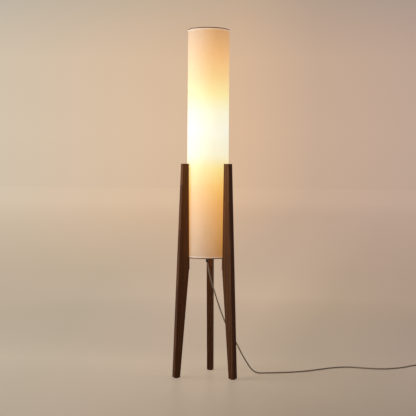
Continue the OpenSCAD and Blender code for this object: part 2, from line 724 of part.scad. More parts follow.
module switch_button() color("#3a3633") at_switch() rotate_extrude($fn = 96) {
    r = button_d / 2;
    top = switch_top + button_rise;
    polygon([
        [0, spring_top], [r - 2, spring_top], [r - 2, flange_z], [flange_r, flange_z],
        [flange_r, flange_z + flange_t], [r, flange_z + flange_t], [r, top - 1.6], [r - 0.5, top - 0.9],
        [r - 1.4, top - 0.5], [r * 0.5, top - 0.1], [0, top],
    ]);
}
spring_path = let (
    turns = spring_curls, low = block_top + spring_wire / 2 + slip, high = spring_top - spring_wire / 2 - slip
) [for (i = [0 : 8 * turns])
    [spring_r * cos(45 * i), spring_r * sin(45 * i), low + (high - low) * i / (8 * turns)]];
module switch_spring() color("#c4c4c4") at_switch() tube(spring_path, spring_wire / 2, 6, [0, 0, 1]);
block_w = 18;
block_l = 26;
module switch_block() color("#e4e0d8") at_switch() {
    translate([-block_w / 2, -block_l / 2, switch_wall]) cube([block_w, block_l, block_top - switch_wall]);
    translate([0, 0, block_top]) cylinder(d = 6, h = 2, $fn = 32);
}
relief_flange_t = 2;
relief_inner = switch_len / 2 - switch_wall - 2 * seat - relief_flange_t;
module switch_cores() color("#7a4a2a") at_switch() for (s = [-1, 1], x = [-1, 1])
    translate([x * core_x * 1.6, s * block_l / 2, min(relief_axis_z, block_top - core_d / 2 - seat)])
        rotate([-90 * s, 0, 0]) cylinder(d = core_d, h = relief_inner - block_l / 2 - slip, $fn = 24);
// Strain relief along +Z: flange, neck through the wall, then a taper to the tip
module relief(flange_d, neck_len) rotate_extrude($fn = 48) polygon([
    [0, -neck_len - relief_flange_t], [flange_d / 2, -neck_len - relief_flange_t],
    [flange_d / 2, -neck_len], [neck_d / 2, -neck_len], [neck_d / 2, seat],
    [relief_root_d / 2, seat], [relief_tip_d / 2, relief_len], [0, relief_len],
]);
module switch_relief(s) color("#8f7c69") at_switch()
    translate([0, s * switch_len / 2, relief_axis_z]) rotate([-90 * s, 0, 0])
        relief(relief_root_d, switch_wall + 2 * seat);
module switch_relief_in() switch_relief(1);
module switch_relief_out() switch_relief(-1);

// Plug, drawn along +Y from its cord end

module at_plug() translate([plug_x, plug_y, plug_axis_z]) children();
plug_neck = 6;
module plug_relief() color("#8f7c69") at_plug() rotate([90, 0, 0]) rotate_extrude($fn = 48) polygon([
    [0, -plug_neck], [neck_d / 2, -plug_neck], [neck_d / 2, seat], [relief_root_d / 2, seat],
    [relief_tip_d / 2, relief_len], [0, relief_len],
]);
plug_taper = 15;
// How deep the pins are set in the plug's body
pin_root = 12;
pin_tip_h = 1;
pin_tip_d = pin_d - 1.4;
pin_core_d = pin_d - 1.2;
// The sleeves lie a little below the pins' own surface
sleeve_d = pin_d - 0.4;
module plug_outline() polygon([
    [-plug_w / 4, 0], [plug_w / 4, 0], [plug_w / 2 - 3, plug_taper - 2], [plug_w / 2, plug_taper + 5],
    [plug_w / 2, plug_len], [-plug_w / 2, plug_len], [-plug_w / 2, plug_taper + 5],
    [3 - plug_w / 2, plug_taper - 2],
]);
module at_pins() for (x = [-1, 1]) translate([x * pin_spacing / 2, plug_len, 0]) rotate([-90, 0, 0]) children();
module plug_body() color("#8f7c69") at_plug() difference() {
    translate([0, 0, -plug_t / 2]) linear_extrude(height = plug_t) plug_outline();
    rotate([-90, 0, 0]) translate([0, 0, -past]) cylinder(d = neck_d + 2 * slip, h = plug_neck + past + slip, $fn = 48);
    at_pins() translate([0, 0, -pin_root]) cylinder(d = pin_d + 2 * slip, h = pin_root + past, $fn = 48);
}
module plug_pins() color("#cfcfcf") at_plug() at_pins() {
    translate([0, 0, slip - pin_root]) cylinder(d = pin_d, h = pin_root - 2 * slip, $fn = 48);
    translate([0, 0, -past]) cylinder(d = pin_core_d, h = sleeve_len + 2 * past, $fn = 48);
    translate([0, 0, sleeve_len + slip])
        cylinder(d = pin_d, h = pin_len - sleeve_len - pin_tip_h - slip, $fn = 48);
    translate([0, 0, pin_len - pin_tip_h]) cylinder(d1 = pin_d, d2 = pin_tip_d, h = pin_tip_h, $fn = 48);
}
module pin_sleeves() color("#8f7c69") at_plug() at_pins() tube_z(sleeve_d, pin_core_d + slip, sleeve_len);

leg_left();
leg_right();
leg_rear();
glide_left();
glide_right();
glide_rear();
glide_nails();
leg_inserts();
lower_screws();
upper_screws();
lower_washers();
upper_spacers();
lower_bracket();
upper_bracket();
stem();
stem_nuts();
stem_washers();
cord_grip();
inner_lead();
lead_cores();
holder_cap();
holder_body();
holder_insert();
holder_shell();
holder_contact();
bulb_contact();
bulb_shell();
bulb_insulator();
bulb_glass();
bulb_stem();
bulb_filaments();
shade_liner();
shade_fabric();
ring_top();
ring_bottom();
hem_top();
hem_bottom();
cord();
switch_base();
switch_cover();
switch_button();
switch_spring();
switch_block();
switch_cores();
switch_screws();
switch_relief_in();
switch_relief_out();
cord_coil();
coil_tie();
plug_relief();
plug_body();
plug_pins();
pin_sleeves();
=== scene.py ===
# %% [markdown]
# # A lit floor lamp, built round its CAD frame
#
# The lamp is a tall fabric cylinder held between three walnut boards. Its construction comes
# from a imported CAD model, which stays where it is. This lesson adds what CAD leaves out.
# Everything is in metres, +Z is up, and the floor is at z = 0.

# %% Load the CAD frame
import math

import bmesh
import bpy
from mathutils import Matrix, Vector


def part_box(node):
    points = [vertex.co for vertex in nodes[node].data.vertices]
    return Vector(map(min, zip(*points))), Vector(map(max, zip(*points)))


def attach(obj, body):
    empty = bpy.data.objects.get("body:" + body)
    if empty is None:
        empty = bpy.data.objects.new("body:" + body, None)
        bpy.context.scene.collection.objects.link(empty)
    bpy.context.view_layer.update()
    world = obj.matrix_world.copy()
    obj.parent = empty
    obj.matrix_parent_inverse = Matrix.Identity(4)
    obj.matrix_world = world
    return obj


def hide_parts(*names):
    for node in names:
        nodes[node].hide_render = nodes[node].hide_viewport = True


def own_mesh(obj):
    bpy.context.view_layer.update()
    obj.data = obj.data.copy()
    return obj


bpy.context.scene.view_settings.view_transform = "Standard"
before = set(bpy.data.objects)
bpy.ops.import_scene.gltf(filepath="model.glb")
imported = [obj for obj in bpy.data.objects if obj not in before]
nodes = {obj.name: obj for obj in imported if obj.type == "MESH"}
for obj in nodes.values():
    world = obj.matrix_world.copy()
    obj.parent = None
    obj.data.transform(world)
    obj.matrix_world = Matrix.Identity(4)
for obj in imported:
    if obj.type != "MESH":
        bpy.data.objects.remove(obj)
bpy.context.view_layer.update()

# %% [markdown]
# ## The camera
#
# A photographer stood a few metres back, a little above the middle of the lamp, with a long
# lens that keeps the shade's sides nearly parallel. The place is written as a distance, a
# height and a few small angles, so that each can be tried alone.

# %% Camera
camera_distance = 3.794
camera_height = 0.7135
camera_turn = math.radians(7.0)
camera_pan = math.radians(-0.023)
camera_pitch = math.radians(1.215)
camera_roll = math.radians(0.4125)


def new_object(name, data):
    made = bpy.data.objects.new(name, data)
    bpy.context.scene.collection.objects.link(made)
    return made


camera_data = bpy.data.cameras.new("camera")
camera_data.sensor_width = 36.0
camera_data.lens = 87.28
camera = new_object("camera", camera_data)
camera.location = (
    camera_distance * math.sin(camera_turn),
    -camera_distance * math.cos(camera_turn),
    camera_height,
)
# Roll about the view axis first, then tip up from looking down, then turn about +Z
camera.rotation_mode = "QUATERNION"
camera.rotation_quaternion = (
    Matrix.Rotation(camera_turn + camera_pan, 3, "Z")
    @ Matrix.Rotation(math.pi / 2 - camera_pitch, 3, "X")
    @ Matrix.Rotation(camera_roll, 3, "Z")
).to_quaternion()
bpy.context.scene.camera = camera
print("camera stands at", [round(c, 3) for c in camera.location])

# %% [markdown]
# ## Colours
#
# Blender works in linear light. One small helper turns a colour picked from a screen into
# Blender's, so a finish can be written as it is seen.


# %% Screen colours to linear light
def screen(red, green, blue):
    def straight(value):
        value /= 255
        return value / 12.92 if value <= 0.04045 else ((value + 0.055) / 1.055) ** 2.4

    return (straight(red), straight(green), straight(blue))


def grey(value):
    return (value, value, value)


print("mid grey is", round(screen(128, 128, 128)[0], 3))

# %% [markdown]
# ## A workbench for materials
#
# Each finish starts from the Principled shader. An input is either a number or the output of
# another node, so one helper plugs both. Others add a node, paint named sockets of the shader
# and make the material.


# %% Plug in, add a node, paint, make a finish
def plug_in(finish, source, target):
    if isinstance(source, bpy.types.NodeSocket):
        finish.node_tree.links.new(source, target)
    elif target.type == "RGBA":
        target.default_value = (*source[:3], 1.0)
    else:
        target.default_value = source


def add_node(finish, kind, plugs=(), **settings):
    node = finish.node_tree.nodes.new(kind)
    for setting, value in settings.items():
        setattr(node, setting, value)
    for socket, source in dict(plugs).items():
        plug_in(finish, source, node.inputs[socket])
    return node


def principled(finish):
    return finish.node_tree.nodes["Principled BSDF"]


def paint(finish, **sockets):
    for socket, source in sockets.items():
        plug_in(finish, source, principled(finish).inputs[socket.replace("_", " ")])


def new_finish(name, colour, roughness, **sockets):
    finish = bpy.data.materials.new(name)
    finish.use_nodes = True
    paint(finish, Base_Color=colour, Roughness=roughness, **sockets)
    return finish


print("a finish is a material with named parts")

# %% [markdown]
# Patterns are made of noise, read at the object's own coordinates. A smaller scale in one
# direction stretches the pattern along it, as in wood grain or the slubs of a thread. A ramp
# turns the noise into colours, or into a shade of grey that is multiplied onto a colour.


# %% Patterns: where, noise, ramp, mix
def spot(finish, scale=(1, 1, 1)):
    place = add_node(finish, "ShaderNodeTexCoord")
    plugs = {"Vector": place.outputs["Object"], "Scale": scale}
    return add_node(finish, "ShaderNodeMapping", plugs).outputs["Vector"]


def xyz_of(finish, source=None):
    source = source or add_node(finish, "ShaderNodeTexCoord").outputs["Object"]
    return add_node(finish, "ShaderNodeSeparateXYZ", {0: source}).outputs


def cloud(finish, scale, detail=4.0, warp=0.0):
    scale = scale if isinstance(scale, tuple) else (scale, scale, scale)
    plugs = {"Vector": spot(finish, scale), "Scale": 1.0, "Detail": detail, "Distortion": warp}
    return add_node(finish, "ShaderNodeTexNoise", plugs).outputs["Fac"]


def ramp(finish, factor, *stops):
    colours = add_node(finish, "ShaderNodeValToRGB", {"Fac": factor})
    elements = colours.color_ramp.elements
    while len(elements) < len(stops):
        elements.new(0.5)
    for element, (place, colour) in zip(elements, stops):
        element.position = place
        element.color = (*colour, 1.0)
    return colours.outputs["Color"]


def greys(finish, factor, *stops):
    return ramp(finish, factor, *((place, grey(value)) for place, value in stops))


def shades(finish, factor, dark, light, start=0.3, end=0.7):
    return greys(finish, factor, (start, dark), (end, light))


def mixed(finish, how, share, first, second):
    blend = add_node(finish, "ShaderNodeMix", data_type="RGBA", blend_type=how)
    for socket, source in ((0, share), (6, first), (7, second)):
        plug_in(finish, source, blend.inputs[socket])
    return blend.outputs[2]


def times(finish, colour, *shade_list):
    for shade in shade_list:
        colour = mixed(finish, "MULTIPLY", 1.0, colour, shade)
    return colour


def shaded(finish, *shade_list, **sockets):
    colour = tuple(principled(finish).inputs["Base Color"].default_value)
    paint(finish, Base_Color=times(finish, colour, *shade_list), **sockets)


def maths(finish, how, first, second=0.0, third=0.0):
    node = add_node(finish, "ShaderNodeMath", {0: first, 1: second, 2: third}, operation=how)
    return node.outputs[0]


def scaled(finish, value, by, plus=0.0):
    return maths(finish, "MULTIPLY_ADD", value, by, plus)


print("patterns come from stretched noise")

# %% [markdown]
# Relief is faked with a Bump node, whose distance is a real depth in metres. CAD edges are
# knife sharp, and no real edge is. A Bevel node bends the normal near an edge, so that it
# catches a thin highlight. The same node finds the edges where a hand or a cloth rubs. Often
# one grain both roughens the skin and changes its gloss.


# %% Relief, edges, and putting a finish on
def bumped(finish, height, depth, rounding=0.0, strength=1.0):
    plugs = {"Height": height, "Distance": depth, "Strength": strength}
    if rounding:
        bevel = add_node(finish, "ShaderNodeBevel", {"Radius": rounding}, samples=6)
        plugs["Normal"] = bevel.outputs["Normal"]
    paint(finish, Normal=add_node(finish, "ShaderNodeBump", plugs).outputs["Normal"])


def grained(finish, pattern, swing, depth, rounding=0.0):
    middle = principled(finish).inputs["Roughness"].default_value
    paint(finish, Roughness=scaled(finish, pattern, swing, middle - swing / 2))
    bumped(finish, pattern, depth, rounding)


def vector_maths(finish, how, first, second=(0, 0, 0)):
    return add_node(finish, "ShaderNodeVectorMath", {0: first, 1: second}, operation=how).outputs


def edges(finish, reach, contrast=3.0):
    soft = add_node(finish, "ShaderNodeBevel", {"Radius": reach}, samples=6)
    sharp = add_node(finish, "ShaderNodeNewGeometry")
    same = vector_maths(finish, "DOT_PRODUCT", soft.outputs["Normal"], sharp.outputs["Normal"])
    bent = maths(finish, "SUBTRACT", 1.0, same["Value"])
    return maths(finish, "MINIMUM", scaled(finish, bent, contrast), 1.0)


def wear(finish, slot, *names):
    for name in names:
        piece = nodes[name] if isinstance(name, str) else name
        piece.data.materials.clear()
        piece.data.materials.append(finish)


print("edges and relief ready")

# %% [markdown]
# ## The cord
#
# A mains lead is round, smooth and rather stiff. It drops out of the grip under the shade,
# hangs behind a leg, meets the floor at a slant and wanders off to its foot switch. Listed
# points give the lie, and a Catmull-Rom curve joins them without corners. The CAD model
# follows the same points.

# %% Points that the cord goes through
cord_width = 0.0053
floor_lie = cord_width / 2
grip_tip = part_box("cord_grip")[0].z
relief_height = 0.0066
cord_end = Vector((0.880, 0.305, relief_height))
along_y = Vector((0, 1, 0))
upwards = Vector((0, 0, 1))
full_turn = 2 * math.pi
# x, y and the height of the cord's underside, in millimetres
route = [
    (5, 2, 404), (8, 3, 385), (15.5, 5.5, 355), (26, 9.5, 319), (44.5, 16.5, 259),
    (66.5, 24.5, 199), (88, 32.5, 155), (110, 40.5, 115), (130.5, 48, 73), (153, 56.5, 34),
    (164, 60.5, 18), (177, 65.5, 6), (190, 70, 1), (206, 75, 0), (243, 84, 0), (288, 99, 0),
    (333, 118, 0), (379, 147, 0), (424, 188, 0), (470, 227, 0), (516, 251, 0), (547, 254, 0),
    (588, 245, 0), (635, 235, 0), (682, 240, 0), (728, 265, 0), (756, 289, 0), (780, 318, 0),
    (803, 341, 0), (818, 351, 0), (835, 355, 0), (852, 352, 0), (866, 342, 0.4), (876, 328, 1.8),
]
cord_points = [upwards * grip_tip, upwards * (grip_tip - cord_width)]
cord_points += [Vector(place) / 1000 + upwards * floor_lie for place in route]
cord_points += [cord_end + along_y * cord_width, cord_end]
print("the cord goes through", len(cord_points), "points")


# %% A smooth line through points, and its length
def smooth_line(points, step):
    line = []
    for i in range(len(points) - 1):
        here, there = points[i], points[i + 1]
        before = points[i - 1] if i else 2 * here - there
        after = points[i + 2] if i + 2 < len(points) else 2 * there - here
        bend = 2 * before - 5 * here + 4 * there - after
        twist = 3 * here - before - 3 * there + after
        pieces = max(1, round((there - here).length / step))
        for t in (k / pieces for k in range(pieces)):
            line.append(here + 0.5 * ((there - before) * t + bend * t**2 + twist * t**3))
    return line + [points[-1]]


def length_of(line):
    return sum((b - a).length for a, b in zip(line, line[1:]))


free_line = smooth_line(cord_points, 0.004)
for point in free_line:
    point.z = max(point.z, floor_lie)
print("free cord:", round(length_of(free_line), 3), "m")

# %% [markdown]
# Blender reckons a curve's box from the radius of its points, not from how thick the section
# is drawn. So the section gets a radius of one, and each point half the cord's width.


# %% A cord object is a curve with a round section
def new_piece(name, node, data):
    piece = new_object(name, data)
    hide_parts(node)
    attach(piece, "stand")
    return piece


def cord_curve(name, node, line):
    curve = bpy.data.curves.new(name, "CURVE")
    curve.dimensions = "3D"
    curve.bevel_depth = 1.0
    curve.bevel_resolution = 6
    curve.use_fill_caps = True
    spline = curve.splines.new("POLY")
    spline.points.add(len(line) - 1)
    for place, point in zip(spline.points, line):
        place.co = (*point, 1.0)
        place.radius = cord_width / 2
    spline.use_smooth = True
    return new_piece(name, node, curve)


free_cord = cord_curve("lead_on_floor", "cord", free_line)
print("made", free_cord.name)

# %% [markdown]
# ## The coil
#
# Past the foot switch the rest of the lead is wound into a neat round coil, inwards on the
# floor and outwards again on top, and ends in the plug. The radius follows the turn count, and
# the climb to the second layer takes the half turn in the middle.

# %% Line of the coil
coil_radius = 0.034
turns = 3.5
turn_step = cord_width + 0.0005
lead_in = 0.027
coil_from = Vector((cord_end.x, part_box("switch_relief_out")[0].y, relief_height))
coil_middle = Vector((cord_end.x + coil_radius, coil_from.y - lead_in, 0.0))
tie_below = 0.0009
low_layer = tie_below + floor_lie
plug_low, plug_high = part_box("plug_relief")
plug_height = (plug_low.z + plug_high.z) / 2
coil_to = Vector((coil_middle.x + coil_radius, plug_low.y, plug_height))


def eased(t):
    t = min(max(t, 0.0), 1.0)
    return t * t * (3 - 2 * t)


def spoke(angle):
    return Vector((math.cos(angle), math.sin(angle), 0))


def coil_point(turn):
    from_middle = turn - turns / 2
    radius = coil_radius - turn_step * (turns / 2 - abs(from_middle))
    height = low_layer + turn_step * eased(from_middle * 2 + 0.5)
    return coil_middle + spoke(math.pi + full_turn * turn) * radius + upwards * height


steps_a_turn = 72
coil_line = [
    coil_from,
    coil_from - along_y * cord_width,
    Vector((coil_from.x, coil_from.y - lead_in * 0.45, (relief_height * 2 + low_layer) / 3)),
    Vector((coil_from.x, coil_from.y - lead_in * 0.75, low_layer)),
]
coil_line += [coil_point(i / steps_a_turn) for i in range(int(steps_a_turn * turns) + 1)]
coil_line += [
    Vector((coil_to.x, coil_to.y - 2 * cord_width, (plug_height + low_layer + turn_step) / 2)),
    coil_to - along_y * cord_width,
    coil_to,
]
coil_line = smooth_line(coil_line, 0.003)
coil = cord_curve("lead_coil", "cord_coil", coil_line)
print("coiled cord:", round(length_of(coil_line), 3), "m")

# %% [markdown]
# ## One helper for every shaped skin
#
# Most soft and moulded pieces here are a grid of points bent round something. The helper asks
# a small function for the place of each point, joins neighbours with faces, and can close the
# grid on itself and cap its ends.


# %% Build a skin from a grid of points
def skin(name, node, along, around, place, closed=True, caps=True, skip=None):
    shell = bmesh.new()
    rows = [[shell.verts.new(place(i, j)) for j in range(around)] for i in range(along)]
    for i in range(along - 1):
        for j in range(around if closed else around - 1):
            if skip and skip(i, j):
                continue
            k = (j + 1) % around
            shell.faces.new((rows[i][j], rows[i][k], rows[i + 1][k], rows[i + 1][j]))
    if caps:
        shell.faces.new(rows[0][::-1])
        shell.faces.new(rows[-1])
    bmesh.ops.recalc_face_normals(shell, faces=shell.faces)
    mesh = bpy.data.meshes.new(name)
    shell.to_mesh(mesh)
    shell.free()
    for face in mesh.polygons:
        face.use_smooth = len(face.vertices) == 4
    return new_piece(name, node, mesh)


print("a skin is rows of points joined by faces")

# %% [markdown]
# ## Strain reliefs
#
# Where a lead enters a housing, a soft moulded cone keeps it from kinking. Slots are cut part of
# the way round it, each turned a quarter from the last. So its radius depends on the place
# along it and on the angle: inside a slot it drops to a thinner core.

# %% Ribbed cone
relief_length = 0.024
relief_root, relief_tip = 0.0045, 0.0033
slot_pitch, slots_from, slot_count = 0.0032, 0.0022, 6
thinnest_core = cord_width / 2 + 0.0003
edge_step = 0.0004
relief_columns = 48


def relief_radius(along, angle):
    radius = relief_root + (relief_tip - relief_root) * along / relief_length
    place = (along - slots_from) / slot_pitch
    number = math.floor(place)
    in_slot = 0.52 < place - number < 0.93 and 0 <= number < slot_count
    bridge = abs(math.sin(angle + number * math.pi / 2))
    return max(radius * 0.74, thinnest_core) if in_slot and bridge > 0.38 else radius


def ribbed_relief(name, node, tip, heading, flange):
    root = tip - heading * relief_length
    side = upwards.cross(heading)
    fine = edge_step / 2
    count = int((relief_length - 4 * edge_step) / fine)
    stations = [-flange, -flange * 0.5, 0.0, edge_step]
    stations += [2 * edge_step + k * fine for k in range(count)]
    stations += [relief_length - 0.0005, relief_length]

    def place(i, j):
        angle = full_turn * j / relief_columns
        s = stations[i]
        radius = relief_tip - 0.0001 if s < 0 else relief_radius(s, angle)
        if s > relief_length - edge_step or s == 0.0:
            radius -= edge_step
        out = side * math.cos(angle) + upwards * math.sin(angle)
        return root + heading * s + out * radius

    return skin(name, node, len(stations), relief_columns, place)


relief_in = ribbed_relief("relief_into_switch", "switch_relief_in", cord_end, along_y, 0.0022)
relief_out = ribbed_relief(
    "relief_out_of_switch", "switch_relief_out", coil_from, -along_y, 0.0022
)
relief_plug = ribbed_relief("relief_into_plug", "plug_relief", coil_to, -along_y, 0.0055)
print("strain reliefs:", len(relief_in.data.polygons), "faces each")

# %% [markdown]
# ## The plug's body
#
# A moulded plug has no sharp edge: it swells from the relief to the width that fingers hold,
# has a few grip ridges on its sides, and rounds over at its face. The section is a
# superellipse, a shape between a circle and a rectangle.

# %% Moulded plug body
body_low, body_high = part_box("plug_body")
body_middle = (body_low + body_high) / 2
body_length = body_high.y - body_low.y
plug_rows, plug_columns = 60, 64
neck_width, neck_height = 0.0064, 0.0056
round_over = 0.0016
squareness = 4.2
ridge_height, ridge_pitch = 0.0004, 0.003


def swelling(s, neck, full, done):
    return neck + (full - neck) * eased(s / done)


def plug_place(i, j):
    s = body_length * i / (plug_rows - 1)
    angle = full_turn * j / plug_columns
    short_by = round_over - min(s, body_length - s, round_over)
    inset = round_over - math.sqrt(max(0.0, round_over**2 - short_by**2))
    x, z = (math.copysign(abs(c) ** (2 / squareness), c) for c in spoke(angle).xy)
    ridge = ridge_height * max(0.0, math.cos((s - 0.024) * full_turn / ridge_pitch))
    ridge *= 0.0195 < s < 0.032
    x *= swelling(s, neck_width, (body_high.x - body_low.x) / 2, 0.020) - ridge - inset
    z *= swelling(s, neck_height, (body_high.z - body_low.z) / 2, 0.017) - inset
    return Vector((body_middle.x + x, body_low.y + s, body_middle.z + z))


plug_piece = skin("plug_moulding", "plug_body", plug_rows, plug_columns, plug_place)
print("plug body", round(body_length * 1000, 1), "mm long")

# %% [markdown]
# ## The coil's tie
#
# A hook-and-loop strap goes once round the bundle, on a path that is a rectangle with round
# corners. Its tail lies one strap thickness further out, on the strap's own back.

# %% Strap round the bundle
tie_low, tie_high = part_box("coil_tie")
strap_thick = 0.0008
strap_wide = tie_high.x - tie_low.x
left_y, right_y = tie_low.y + strap_thick / 2, tie_high.y - strap_thick / 2
under_z, top_z = tie_low.z + strap_thick / 2, tie_high.z - strap_thick / 2
middle_y = (left_y + right_y) / 2
strap_corner = 0.0022
corner_steps = 6


def strap_path():
    def on_top(y):
        return (y, top_z, 0.0, 1.0)

    lap = [on_top(middle_y + 0.002)]
    corners = ((left_y, top_z), (left_y, under_z), (right_y, under_z), (right_y, top_z))
    for number, (y, z) in enumerate(corners):
        centre_y = y + math.copysign(strap_corner, middle_y - y)
        centre_z = z + (strap_corner if z == under_z else -strap_corner)
        for k in range(corner_steps + 1):
            out = spoke(math.pi / 2 * (number + 1 + k / corner_steps))
            bend = out * strap_corner
            lap.append((centre_y + bend.x, centre_z + bend.y, out.x, out.y))
    return lap + [lap[0], on_top(middle_y), on_top(middle_y - 0.004)]


strap = strap_path()
outer_lap = len(strap) - 3
half_section = [(-0.5, -0.3), (-0.47, -0.5), (-0.2, -0.5), (0.2, -0.5), (0.47, -0.5), (0.5, -0.3)]
strap_section = half_section + [(-across, -out) for across, out in half_section]


def strap_place(i, j):
    y, z, out_y, out_z = strap[i]
    across, out = strap_section[j]
    push = strap_thick * (out + (1.06 if i >= outer_lap else 0.0))
    x = (tie_low.x + tie_high.x) / 2 + across * strap_wide
    return Vector((x, y + out_y * push, z + out_z * push))


tie_piece = skin("hook_and_loop_tie", "coil_tie", len(strap), len(strap_section), strap_place)
print("tie", round(strap_wide * 1000, 1), "mm wide")

# %% [markdown]
# ## The switch's return spring
#
# A coil spring, a tube round a helix, pushes the foot switch's button up again. It shortens by
# the button's travel.

# %% Helical spring
spring_low, spring_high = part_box("switch_spring")
spring_middle = (spring_low + spring_high) / 2
spring_foot = Vector((spring_middle.x, spring_middle.y, spring_low.z))
spring_height = spring_high.z - spring_low.z
wire_radius = 0.00035
spring_radius = (spring_high.x - spring_low.x) / 2 - wire_radius
spring_turns = 5.5
spring_rows, spring_columns = 200, 10


def spring_place(i, j):
    share = i / (spring_rows - 1)
    # The end turns lie flat, the ones between are pitched
    climb = eased((share - 0.06) / 0.88)
    wire = wire_radius * spoke(full_turn * j / spring_columns)
    height = wire_radius + (spring_height - 2 * wire_radius) * climb + wire.y
    out = spoke(full_turn * spring_turns * share) * (spring_radius + wire.x)
    return spring_foot + out + upwards * height


spring_piece = skin("return_spring", "switch_spring", spring_rows, spring_columns, spring_place)
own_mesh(spring_piece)
print("spring", round(spring_height * 1000, 1), "mm high")

# %% [markdown]
# ## The whole lead
#
# The first length runs from the grip to the foot switch, the second from the switch to the
# plug. Their sum is the whole lead.

# %% Length of the whole lead
print("the whole lead:", round(length_of(free_line) + length_of(coil_line), 2), "m")

# %% [markdown]
# ## The shade's cloth
#
# The shade is one sheet of cream cotton, laminated to a stiff film and rolled into a tube. It
# is built as it is rolled: a strip that starts under the lap seam at the back, goes round,
# climbs over its own beginning and stops. Solidify then gives it its thickness.

# %% Sizes of the rolled sheet
cloth_low, cloth_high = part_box("shade_fabric")
cloth_height = cloth_high.z - cloth_low.z
cloth_outside = cloth_high.x
cloth_thick = 0.0006
cloth_middle = cloth_outside - cloth_thick / 2
seam_width = 0.012
seam_start = math.radians(130)
seam_angle = seam_width / cloth_outside
seam_rise = cloth_thick + 0.00002
seam_climb = 0.035


def seam_lift(travelled):
    """How far the sheet stands out where it climbs over its own start."""
    return seam_rise * eased((travelled - full_turn + seam_climb) / seam_climb)


# %% [markdown]
# Six screws pierce the cloth, so the grid skips the faces that lie under them.

# %% Roll the sheet
cloth_rows, cloth_columns = 170, 262
screw_hole = 0.0034
screw_middles = [sum(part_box(name), Vector()) / 2 for name in ("lower_washers", "upper_spacers")]
screws = [
    spoke(math.radians(turn)) * cloth_middle + upwards * middle.z
    for middle in screw_middles
    for turn in (90, 210, 330)
]


def cloth_place(i, j):
    travelled = (full_turn + seam_angle) * j / (cloth_columns - 1)
    out = spoke(seam_start + travelled) * (cloth_middle + seam_lift(travelled))
    return out + upwards * (cloth_low.z + cloth_height * i / (cloth_rows - 1))


def under_screw(i, j):
    centre = (cloth_place(i, j) + cloth_place(i + 1, j + 1)) / 2
    return any((centre - screw).length < screw_hole for screw in screws)


rolled = {"closed": False, "caps": False, "skip": under_screw}
shade_sheet = skin(
    "shade_cloth", "shade_fabric", cloth_rows, cloth_columns, cloth_place, **rolled
)
thickness = shade_sheet.modifiers.new("cloth thickness", "SOLIDIFY")
thickness.thickness = cloth_thick
thickness.offset = 0.0
print("cloth faces:", len(shade_sheet.data.polygons))

# %% [markdown]
# ## Hem tapes
#
# At each end a folded tape covers the sheet's cut edge. It is a narrow band, a little crowned,
# and where it crosses the lap seam it climbs over it too.

# %% Two hem tapes
# Across the tape: how far outwards from the cloth, and how far up as a share of its width
hem_section = [
    (0.00003, 0.04), (0.00020, 0.0), (0.00031, 0.05), (0.00035, 0.2), (0.00037, 0.5),
    (0.00035, 0.8), (0.00031, 0.95), (0.00020, 1.0), (0.00003, 0.96),
]
hem_steps = 360


def hem_lift(angle):
    past = (angle - seam_start) % full_turn
    if past > math.pi:
        return seam_lift(past)
    return seam_rise * eased(1 - (past - seam_angle) / 0.02)


def hem_tape(name, node):
    low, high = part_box(node)

    def place(i, j):
        angle = full_turn * i / hem_steps
        out, up = hem_section[j]
        height = low.z + (high.z - low.z) * up
        return spoke(angle) * (cloth_outside + hem_lift(angle) + out) + upwards * height

    return skin(name, node, hem_steps + 1, len(hem_section), place, caps=False)


hem_tapes = [hem_tape("hem_tape_top", "hem_top"), hem_tape("hem_tape_bottom", "hem_bottom")]
print("hem tapes made")

# %% [markdown]
# ## Floor, background and light
#
# The stage is plain: a warm floor that runs out to a background of nearly the same tone. The
# camera and mirror-like surfaces see the background as a colour, and the light that the world
# gives is set apart from it. The tone is painted a little brighter on the side of the key
# light, and warmer round the lamp: a painted glow of its light.


# %% What the camera sees, and what lights the lamp
def seen_directly(owner):
    rays = add_node(owner, "ShaderNodeLightPath").outputs
    either = maths(owner, "MAXIMUM", rays["Is Camera Ray"], rays["Is Glossy Ray"])
    return maths(owner, "MAXIMUM", either, rays["Is Transmission Ray"])


def blended(owner, share, lit, colour, kind, output):
    plain = add_node(owner, kind, {"Color": colour, "Strength": 1.0})
    blend = add_node(owner, "ShaderNodeMixShader", {0: share, 1: lit, 2: plain.outputs[0]})
    plug_in(owner, blend.outputs[0], owner.node_tree.nodes[output].inputs["Surface"])


# From the bright side to the dark side; a place on the ramp is 0.5 + 1.25 times the direction's x
# The orange stops near the middle are the lamp's painted glow
side_tones = (
    (0.10, (0.66, 0.55, 0.42)),
    (0.27, (0.71, 0.52, 0.36)),
    (0.39, (0.70, 0.48, 0.32)),
    (0.48, (0.58, 0.41, 0.30)),
    (0.60, (0.53, 0.38, 0.30)),
)
# How the tone changes with height over the horizon, from the horizon to 12 degrees above it
height_tones = (
    (0.0, grey(0.97)),
    (0.25, grey(1.0)),
    (0.60, grey(0.97)),
    (0.74, (0.88, 0.90, 0.93)),
    (0.88, (0.77, 0.83, 0.88)),
)


def side_tone(owner, sideways, stops=side_tones):
    return ramp(owner, scaled(owner, sideways, 1.25, 0.5), *stops)


print("stage tones ready")

# %% World
world = bpy.data.worlds.new("room")
bpy.context.scene.world = world
world.use_nodes = True
fill = world.node_tree.nodes["Background"]
plug_in(world, (0.076, 0.077, 0.070), fill.inputs["Color"])
heading = xyz_of(world, add_node(world, "ShaderNodeTexCoord").outputs["Generated"])
height_share = maths(world, "DIVIDE", heading["Z"], math.sin(math.radians(12)))
room_tone = times(world, side_tone(world, heading["X"]), ramp(world, height_share, *height_tones))
seen = seen_directly(world)
blended(world, seen, fill.outputs[0], room_tone, "ShaderNodeBackground", "World Output")
print("world light", [round(c, 3) for c in fill.inputs["Color"].default_value[:3]])

# %% [markdown]
# Three lamps make the shape. The key is broad, on the left and a little in front. A small low
# one beside it reaches the legs' outer faces. A weak cool one on the right keeps that side of
# the shade from going flat.


